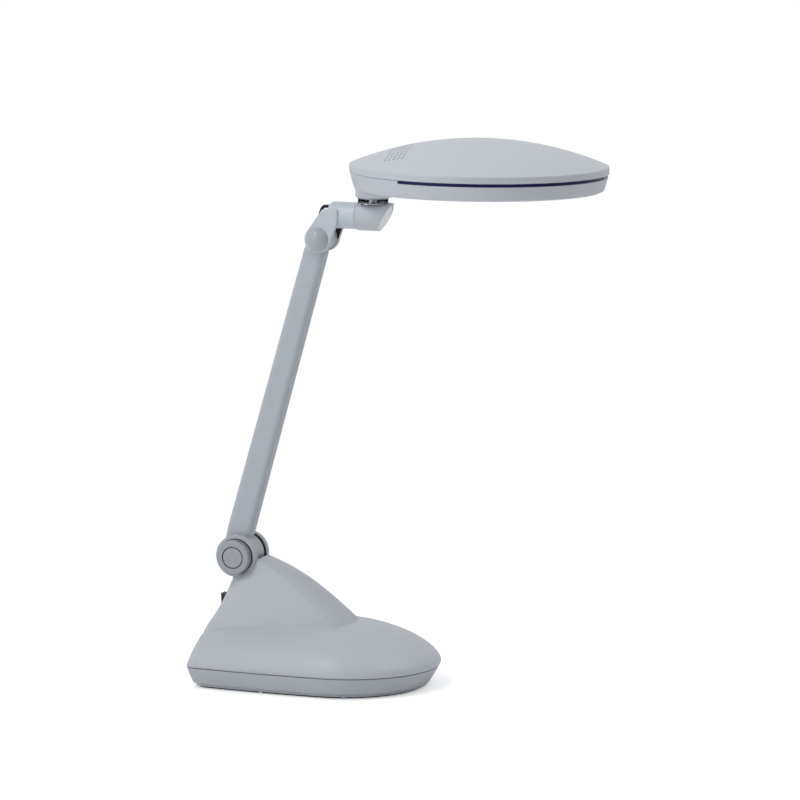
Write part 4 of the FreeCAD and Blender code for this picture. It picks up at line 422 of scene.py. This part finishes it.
def foot_chain(build):
    """The crease of the cover along the tower's foot, with its two normals."""
    sharp = []
    for edge in build.edges:
        if len(edge.link_faces) != 2:
            continue
        middle = (edge.verts[0].co + edge.verts[1].co) * 0.5
        outside = max(face.normal.z for face in edge.link_faces) > FOOT_UPWARD
        if (FOOT_LOW < middle.z < FOOT_HIGH and outside
                and edge.calc_face_angle_signed() < -FOOT_LEAST_ANGLE):
            sharp.append(edge)
    build.verts.index_update()
    chain = chains(sharp)[0]
    sides = {}
    for edge in sharp:
        for vertex in edge.verts:
            steep, flat = sorted(edge.link_faces, key=lambda face: face.normal.z)
            pair = sides.setdefault(vertex, [Vector(), Vector()])
            pair[0] += steep.normal
            pair[1] += flat.normal
    points = [vertex.co.copy() for vertex in chain]
    normals = [[n.normalized() for n in sides[vertex]] for vertex in chain]
    points, normals = resampled(points, normals, FOOT_STEP)
    steep, flat = [[n.normalized() for n in smoothed(side, FOOT_NORMAL_PASSES)]
                   for side in zip(*normals)]
    return smoothed(points, FOOT_POINT_PASSES), steep, flat


def fillet_arc(tree, point, one, two, radius):
    """Concave arc from the steep face to the flat one, ending on both."""
    centre = point + (one + two) * (radius / (1.0 + one.dot(two)))
    shifts = []
    for normal in (one, two):
        touch = centre - normal * radius
        shifts.append(tree.find_nearest(touch)[0] - touch)
    arc = []
    for i in range(FOOT_ARC + 1):
        share = i / FOOT_ARC
        arc.append(centre - one.slerp(two, share) * radius
                   + shifts[0].lerp(shifts[1], share))
    return arc


def bead_arc(tree, point, one, size):
    """Convex bead that stands a little proud of the crease."""
    out = Vector((one.x, one.y, 0.0)).normalized()
    up = Vector((0.0, 0.0, 1.0))
    rise = BEAD_RISE * size
    radius = BEAD_RADIUS * size
    lean = one.z / math.hypot(one.x, one.y)
    arc = [point - out * (lean * rise) + up * rise]
    centre = point + out * BEAD_START + up * (rise - radius)
    for angle in BEAD_ANGLES:
        turn = math.radians(angle)
        arc.append(centre + out * (radius * math.cos(turn)) + up * (radius * math.sin(turn)))
    last = math.radians(BEAD_ANGLES[-1])
    far = arc[-1] + (out * math.sin(last) - up * math.cos(last)) * (BEAD_RUN * size)
    low, normal = tree.find_nearest(far)[:2]
    low = low - normal * BEAD_SINK
    arc.append(arc[-1].lerp(low, 0.5))
    arc.append(low)
    return arc


def tower_foot():
    """One strip along the foot: the fillet in front turns into the bead at the sides."""
    build = welded("base_cover")
    tree = BVHTree.FromBMesh(build)
    points, steep, flat = foot_chain(build)
    rows = []
    for k, point in enumerate(points):
        from_end = min(k, len(points) - 1 - k)
        size = min(1.0, FOOT_END_SIZE + from_end / FOOT_END_ROWS)
        one, two = steep[k], flat[k]
        fillet = fillet_arc(tree, point, one, two, FOOT_RADIUS * size)
        bead = bead_arc(tree, point, one, size)
        low, high = BEAD_SIDE_SHARE
        level = Vector((one.x, one.y, 0.0)).normalized()
        share = min(1.0, max(0.0, (abs(level.y) - low) / (high - low)))
        share = share * share * (3.0 - 2.0 * share)
        arc = [a.lerp(b, share) for a, b in zip(fillet, bead)]
        low_a = arc[-1] - two * FOOT_SINK
        low_b = point - (one + two).normalized() * FOOT_SINK * 2.0
        low_c = arc[0] - one * FOOT_SINK
        rows.append(arc + [low_a, low_b, low_c])
    build.free()
    columns = len(rows[0])
    piece = new_piece("TowerFoot", [p for row in rows for p in row],
                      strip_faces(len(rows), columns, False), "grey_plastic",
                      FOOT_SMOOTH_ANGLE)
    wear(piece, "base_cover")
    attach(piece, "base")


# Rings and washers, turned about an axis of the frame

def turned_ring(name, section, place, axis, slot, start=0.0, end=360.0, steps=96,
                teeth=None, smooth_angle=SMOOTH_ANGLE):
    """Ring with a closed section of (radius, height) points about an axis."""
    upright = Vector((0.0, 0.0, 1.0)).rotation_difference(Vector(axis))
    whole = end - start >= 360.0
    rows = steps if whole else steps + 1
    points = []
    for i in range(rows):
        turn = math.radians(start + (end - start) * i / steps)
        for k, (radius, height) in enumerate(section):
            if teeth:
                radius, height = teeth(i, k, radius, height)
            offset = Vector((radius * math.cos(turn), radius * math.sin(turn), height))
            points.append(Vector(place) + upright @ offset)
    faces = strip_faces(rows, len(section), whole)
    return new_piece(name, points, faces, slot, smooth_angle)


def joint_axis(name):
    """A joint's place and the direction of its axis."""
    joint = next(row for row in frame["joints"] if row["name"] == name)
    return Vector(joint["pos_m"]), Vector(joint["axis"]).normalized()


# Hinge: black washers in the gaps, whose darkness paints the shadow there, and a fine knurl round the knob.
# Sections are (radius, y).

Y_AXIS = (0.0, 1.0, 0.0)
KNOB_FACE_Y = -0.0262
KNOB_BACK_Y = -0.0180
KNURL_TEETH = 96
KNURL_ROOT = 0.01545
KNURL_TIP = 0.01595
KNURL_INNER = 0.0150
KNURL_FACE_GAP = 0.0013
KNURL_BACK_GAP = 0.0009
KNURL_LIP = 0.0002
SHARP_ANGLE = 20.0
KNOB_SHADE_WASHER_SECTION = ((0.0090, -0.01796), (0.0162, -0.01796), (0.0164, -0.01780),
                       (0.0164, -0.01754), (0.0090, -0.01754))
EAR_SHADE_WASHER_SECTION = ((0.0123, 0.0094), (0.0181, 0.0094), (0.0184, 0.0097),
                      (0.0184, 0.0118), (0.0123, 0.0118))


def hinge_pieces():
    place = joint_axis("lower_hinge")[0]
    centre = Vector((place.x, 0.0, place.z))

    def tooth(i, k, radius, height):
        """Every second row of the outer face stands out."""
        if k in (1, 2):
            radius = KNURL_TIP if i % 2 else KNURL_ROOT
        return radius, height

    start = KNOB_FACE_Y + KNURL_FACE_GAP
    end = KNOB_BACK_Y - KNURL_BACK_GAP
    section = ((KNURL_INNER, start), (KNURL_ROOT, start + KNURL_LIP), (KNURL_ROOT, end),
               (KNURL_INNER, end))
    knurl = turned_ring("KnobKnurl", section, centre, Y_AXIS, "grey_plastic",
                        steps=2 * KNURL_TEETH, teeth=tooth, smooth_angle=SHARP_ANGLE)
    wear(knurl, "tension_knob")
    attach(knurl, "knob")
    # Black washer behind the knob: a dark ring round its back edge that paints the shadow between knob and ear.
    washer = turned_ring("KnobShadowWasher", KNOB_SHADE_WASHER_SECTION, centre, Y_AXIS, "black_rubber")
    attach(washer, "knob")
    # Black washer in the gap between knuckle and far ear, part of the hinge stack; its darkness paints the shadow
    # in that gap.
    far_shadow_washer = turned_ring("FarEarShadowWasher", EAR_SHADE_WASHER_SECTION, centre, Y_AXIS, "black_rubber")
    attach(far_shadow_washer, "base")


# Elbow: a dark sheet on the inside of the far cheek, ahead of the eye, that paints the shadow between the cheeks

SHADE_SHEET_Y = (0.00885, 0.00935)
SHADE_SHEET_EYE_ROOM = 0.0111
SHADE_SHEET_EDGE = ((0.0119, -0.0013), (0.0158, 0.0092))
SHADE_SHEET_ARC = 8
SHADE_SHEET_SMOOTH_ANGLE = 30.0


def elbow_shadow_sheet():
    place = joint_axis("elbow_hinge")[0]
    (x0, z0), (x1, z1) = SHADE_SHEET_EDGE
    outline = [(x0, z0), (x1, z1)]
    high = math.atan2(z1, math.sqrt(SHADE_SHEET_EYE_ROOM ** 2 - z1 ** 2))
    low = math.atan2(z0, SHADE_SHEET_EYE_ROOM)
    for i in range(SHADE_SHEET_ARC + 1):
        turn = high + (low - high) * i / SHADE_SHEET_ARC
        outline.append((SHADE_SHEET_EYE_ROOM * math.cos(turn), SHADE_SHEET_EYE_ROOM * math.sin(turn)))
    count = len(outline)
    points = [(place.x + x, y, place.z + z) for y in SHADE_SHEET_Y for x, z in outline]
    faces = [tuple(range(count)), tuple(reversed(range(count, 2 * count)))]
    for k in range(count):
        m = (k + 1) % count
        faces.append((k, k + count, m + count, m))
    # Black sheet standing in for the shadow on the far cheek's inner face.
    piece = new_piece("CheekShadowSheet", points, faces, "black_plastic", SHADE_SHEET_SMOOTH_ANGLE)
    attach(piece, "fork")


# Neck: a dark shield behind the post that paints the shadow there, and a toothed washer on the friction disc

SHIELD_INNER = 0.0119
SHIELD_OUTER = 0.0136
SHIELD_LOW = -0.0047
SHIELD_HIGH = -0.0012
SHIELD_START = 10.0
SHIELD_END = 208.0
SHIELD_STEPS = 72
WASHER_LOW = -0.00505
WASHER_THICKNESS = 0.0005
WASHER_INNER = 0.0054
WASHER_WAIST = 0.0084
WASHER_ROOT_RISE = 0.0004
WASHER_TIP = 0.0110
WASHER_TEETH = 16
WASHER_TWIST = 0.0006


def neck_pieces():
    place, axis = joint_axis("shade_pan")
    if axis.z < 0.0:
        axis = -axis
    # Black half ring behind the post: painted shadow in the gap under the head's boss.
    shield = turned_ring("NeckShadowShield",
                         [(SHIELD_INNER, SHIELD_LOW), (SHIELD_OUTER, SHIELD_LOW),
                          (SHIELD_OUTER, SHIELD_HIGH), (SHIELD_INNER, SHIELD_HIGH)],
                         place, axis, "black_plastic", SHIELD_START, SHIELD_END,
                         SHIELD_STEPS)
    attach(shield, "shade")

    def tooth(i, k, radius, height):
        """Two rows in four reach the tip, and one of them is bent up."""
        if k in (2, 3):
            radius = WASHER_TIP if i % 4 in (1, 2) else WASHER_WAIST + WASHER_ROOT_RISE
            if i % 4 == 1:
                height += WASHER_TWIST
        return radius, height

    low = WASHER_LOW
    high = low + WASHER_THICKNESS
    washer = turned_ring("NeckLockWasher",
                         [(WASHER_INNER, low), (WASHER_WAIST, low), (WASHER_TIP, low),
                          (WASHER_TIP, high), (WASHER_WAIST, high), (WASHER_INNER, high)],
                         place, axis, "zinc_steel", steps=4 * WASHER_TEETH, teeth=tooth,
                         smooth_angle=SHARP_ANGLE)
    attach(washer, "swivel")


# Black lead over the open elbow

LEAD_RADIUS = 0.0015
LEAD_SIDES = 24
LEAD_SPLINE_STEPS = 16


def tube_mesh(name, route, radius, slot):
    """Round tube along a smooth spline through a few control points."""
    curve = bpy.data.curves.new(name, "CURVE")
    curve.dimensions = "3D"
    spline = curve.splines.new("NURBS")
    spline.points.add(len(route) - 1)
    for point, place in zip(spline.points, route):
        point.co = (*place, 1.0)
    spline.order_u = 3
    spline.use_endpoint_u = True
    spline.resolution_u = LEAD_SPLINE_STEPS
    curve.bevel_depth = radius
    curve.bevel_resolution = LEAD_SIDES // 4
    curve.use_fill_caps = True
    holder = bpy.data.objects.new(name + "Route", curve)
    SCENE.collection.objects.link(holder)
    bpy.context.view_layer.update()
    mesh = bpy.data.meshes.new_from_object(holder)
    bpy.data.objects.remove(holder)
    piece = bpy.data.objects.new(name, mesh)
    mesh.materials.clear()
    mesh.materials.append(MATERIALS[slot])
    mesh.shade_smooth()
    SCENE.collection.objects.link(piece)
    return piece


def elbow_lead():
    low = Vector((-0.08736, 0.0, 0.39286))
    leave = Vector((-0.08059, 0.0, 0.41812))
    corner = Vector((-0.07618, 0.0, 0.43457))
    mouth = Vector((-0.07100, 0.0, 0.43553))
    inside = Vector((-0.05657, 0.0, 0.43536))
    piece = tube_mesh("ElbowLead", (low, leave, corner, mouth, inside), LEAD_RADIUS,
                      "black_rubber")
    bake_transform(piece)
    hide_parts("elbow_cable")


# Camera, floor and light

def make_camera():
    back = Vector((math.sin(CAMERA_YAW) * math.cos(CAMERA_PITCH),
                   -math.cos(CAMERA_YAW) * math.cos(CAMERA_PITCH),
                   math.sin(CAMERA_PITCH)))
    data = bpy.data.cameras.new("Camera")
    data.sensor_width = SENSOR_WIDTH
    data.lens = CAMERA_FOCAL_PIXELS / IMAGE_SIZE * SENSOR_WIDTH
    data.clip_start = CLIP_START
    data.clip_end = CLIP_END
    camera = bpy.data.objects.new("Camera", data)
    SCENE.collection.objects.link(camera)
    camera.location = CAMERA_TARGET + back * CAMERA_DISTANCE
    camera.rotation_mode = "QUATERNION"
    camera.rotation_quaternion = (-back).to_track_quat("-Z", "Y")
    SCENE.camera = camera


def ray_mix(nodes, links, rays, other, shown):
    """The shown shader for the named kinds of ray and the other one for the rest."""
    path = nodes.new("ShaderNodeLightPath")
    share = path.outputs[rays[0]]
    for ray in rays[1:]:
        either = nodes.new("ShaderNodeMath")
        either.operation = "MAXIMUM"
        links.new(share, either.inputs[0])
        links.new(path.outputs[ray], either.inputs[1])
        share = either.outputs[0]
    mix = nodes.new("ShaderNodeMixShader")
    links.new(share, mix.inputs["Fac"])
    links.new(other, mix.inputs[1])
    links.new(shown, mix.inputs[2])
    return mix.outputs[0]


def world_strength(nodes, links):
    """Strength that falls towards the dark side of the studio."""
    place = nodes.new("ShaderNodeTexCoord")
    way = nodes.new("ShaderNodeVectorMath")
    way.operation = "DOT_PRODUCT"
    links.new(place.outputs["Generated"], way.inputs[0])
    way.inputs[1].default_value = Vector(WORLD_DARK_WAY).normalized()
    fall = nodes.new("ShaderNodeMapRange")
    fall.interpolation_type = "SMOOTHSTEP"
    fall.inputs["From Min"].default_value = WORLD_FALL_START
    fall.inputs["From Max"].default_value = WORLD_FALL_END
    fall.inputs["To Min"].default_value = WORLD_LIT_SIDE
    fall.inputs["To Max"].default_value = WORLD_DARK_SIDE
    links.new(way.outputs["Value"], fall.inputs["Value"])
    return fall.outputs["Result"]


def make_world():
    """White to the camera; a graded studio to the lamp, a little brighter in its gloss."""
    world = bpy.data.worlds.new("Studio")
    SCENE.world = world
    world.use_nodes = True
    nodes = world.node_tree.nodes
    links = world.node_tree.links
    strength = world_strength(nodes, links)
    lit = nodes["Background"]
    lit.inputs["Color"].default_value = WORLD_TINT
    links.new(strength, lit.inputs["Strength"])
    more = nodes.new("ShaderNodeMath")
    more.operation = "MULTIPLY"
    links.new(strength, more.inputs[0])
    more.inputs[1].default_value = WORLD_GLOSS
    mirrored = nodes.new("ShaderNodeBackground")
    links.new(more.outputs[0], mirrored.inputs["Strength"])
    mirrored.inputs["Color"].default_value = WORLD_TINT
    shown = nodes.new("ShaderNodeBackground")
    shown.inputs["Color"].default_value = WHITE
    shown.inputs["Strength"].default_value = 1.0
    mixed = ray_mix(nodes, links, ("Is Glossy Ray",), lit.outputs[0], mirrored.outputs[0])
    mixed = ray_mix(nodes, links, ("Is Camera Ray", "Is Transmission Ray"), mixed,
                    shown.outputs[0])
    links.new(mixed, nodes["World Output"].inputs["Surface"])


def make_floor():
    """Pale floor that keeps the shadow and fades to the white background."""
    bpy.ops.mesh.primitive_plane_add(size=FLOOR_SIZE, location=(0, 0, -FLOOR_DROP))
    floor = bpy.context.object
    floor.name = "Floor"
    material = bpy.data.materials.new("Floor")
    material.use_nodes = True
    surface = material.node_tree.nodes["Principled BSDF"]
    surface.inputs["Base Color"].default_value = FLOOR_COLOUR
    surface.inputs["Roughness"].default_value = FLOOR_ROUGHNESS
    surface.inputs["Specular IOR Level"].default_value = FLOOR_GLOSS
    nodes = material.node_tree.nodes
    links = material.node_tree.links
    lift = nodes.new("ShaderNodeEmission")
    lift.inputs["Strength"].default_value = FLOOR_LIFT
    near = nodes.new("ShaderNodeAddShader")
    links.new(surface.outputs[0], near.inputs[0])
    links.new(lift.outputs[0], near.inputs[1])
    white = nodes.new("ShaderNodeEmission")
    white.inputs["Strength"].default_value = 1.0
    place = nodes.new("ShaderNodeTexCoord")
    length = nodes.new("ShaderNodeVectorMath")
    length.operation = "LENGTH"
    links.new(place.outputs["Object"], length.inputs[0])
    fade = nodes.new("ShaderNodeMapRange")
    fade.interpolation_type = "SMOOTHSTEP"
    fade.inputs["From Min"].default_value = FLOOR_FADE_START
    fade.inputs["From Max"].default_value = FLOOR_FADE_END
    links.new(length.outputs["Value"], fade.inputs["Value"])
    shown = nodes.new("ShaderNodeMixShader")
    links.new(fade.outputs["Result"], shown.inputs["Fac"])
    links.new(near.outputs[0], shown.inputs[1])
    links.new(white.outputs[0], shown.inputs[2])
    mixed = ray_mix(nodes, links, ("Is Camera Ray", "Is Transmission Ray"),
                    surface.outputs[0], shown.outputs[0])
    links.new(mixed, nodes["Material Output"].inputs["Surface"])
    floor.data.materials.append(material)


def area_light(name, location, side, power):
    """Square soft light that faces the lamp."""
    data = bpy.data.lights.new(name, "AREA")
    data.shape = "SQUARE"
    data.size = side
    data.energy = power
    light = bpy.data.objects.new(name, data)
    SCENE.collection.objects.link(light)
    light.location = location
    way = Vector(LIGHT_TARGET) - Vector(location)
    light.rotation_mode = "QUATERNION"
    light.rotation_quaternion = way.to_track_quat("-Z", "Y")


def make_lights():
    for name, location, side, power in LIGHTS:
        area_light(name, location, side, power)


make_camera()
make_world()
make_floor()
make_lights()
dress_nodes()
tower_foot()
hinge_pieces()
elbow_shadow_sheet()
neck_pieces()
elbow_lead()
SCENE.view_settings.view_transform = "Standard"
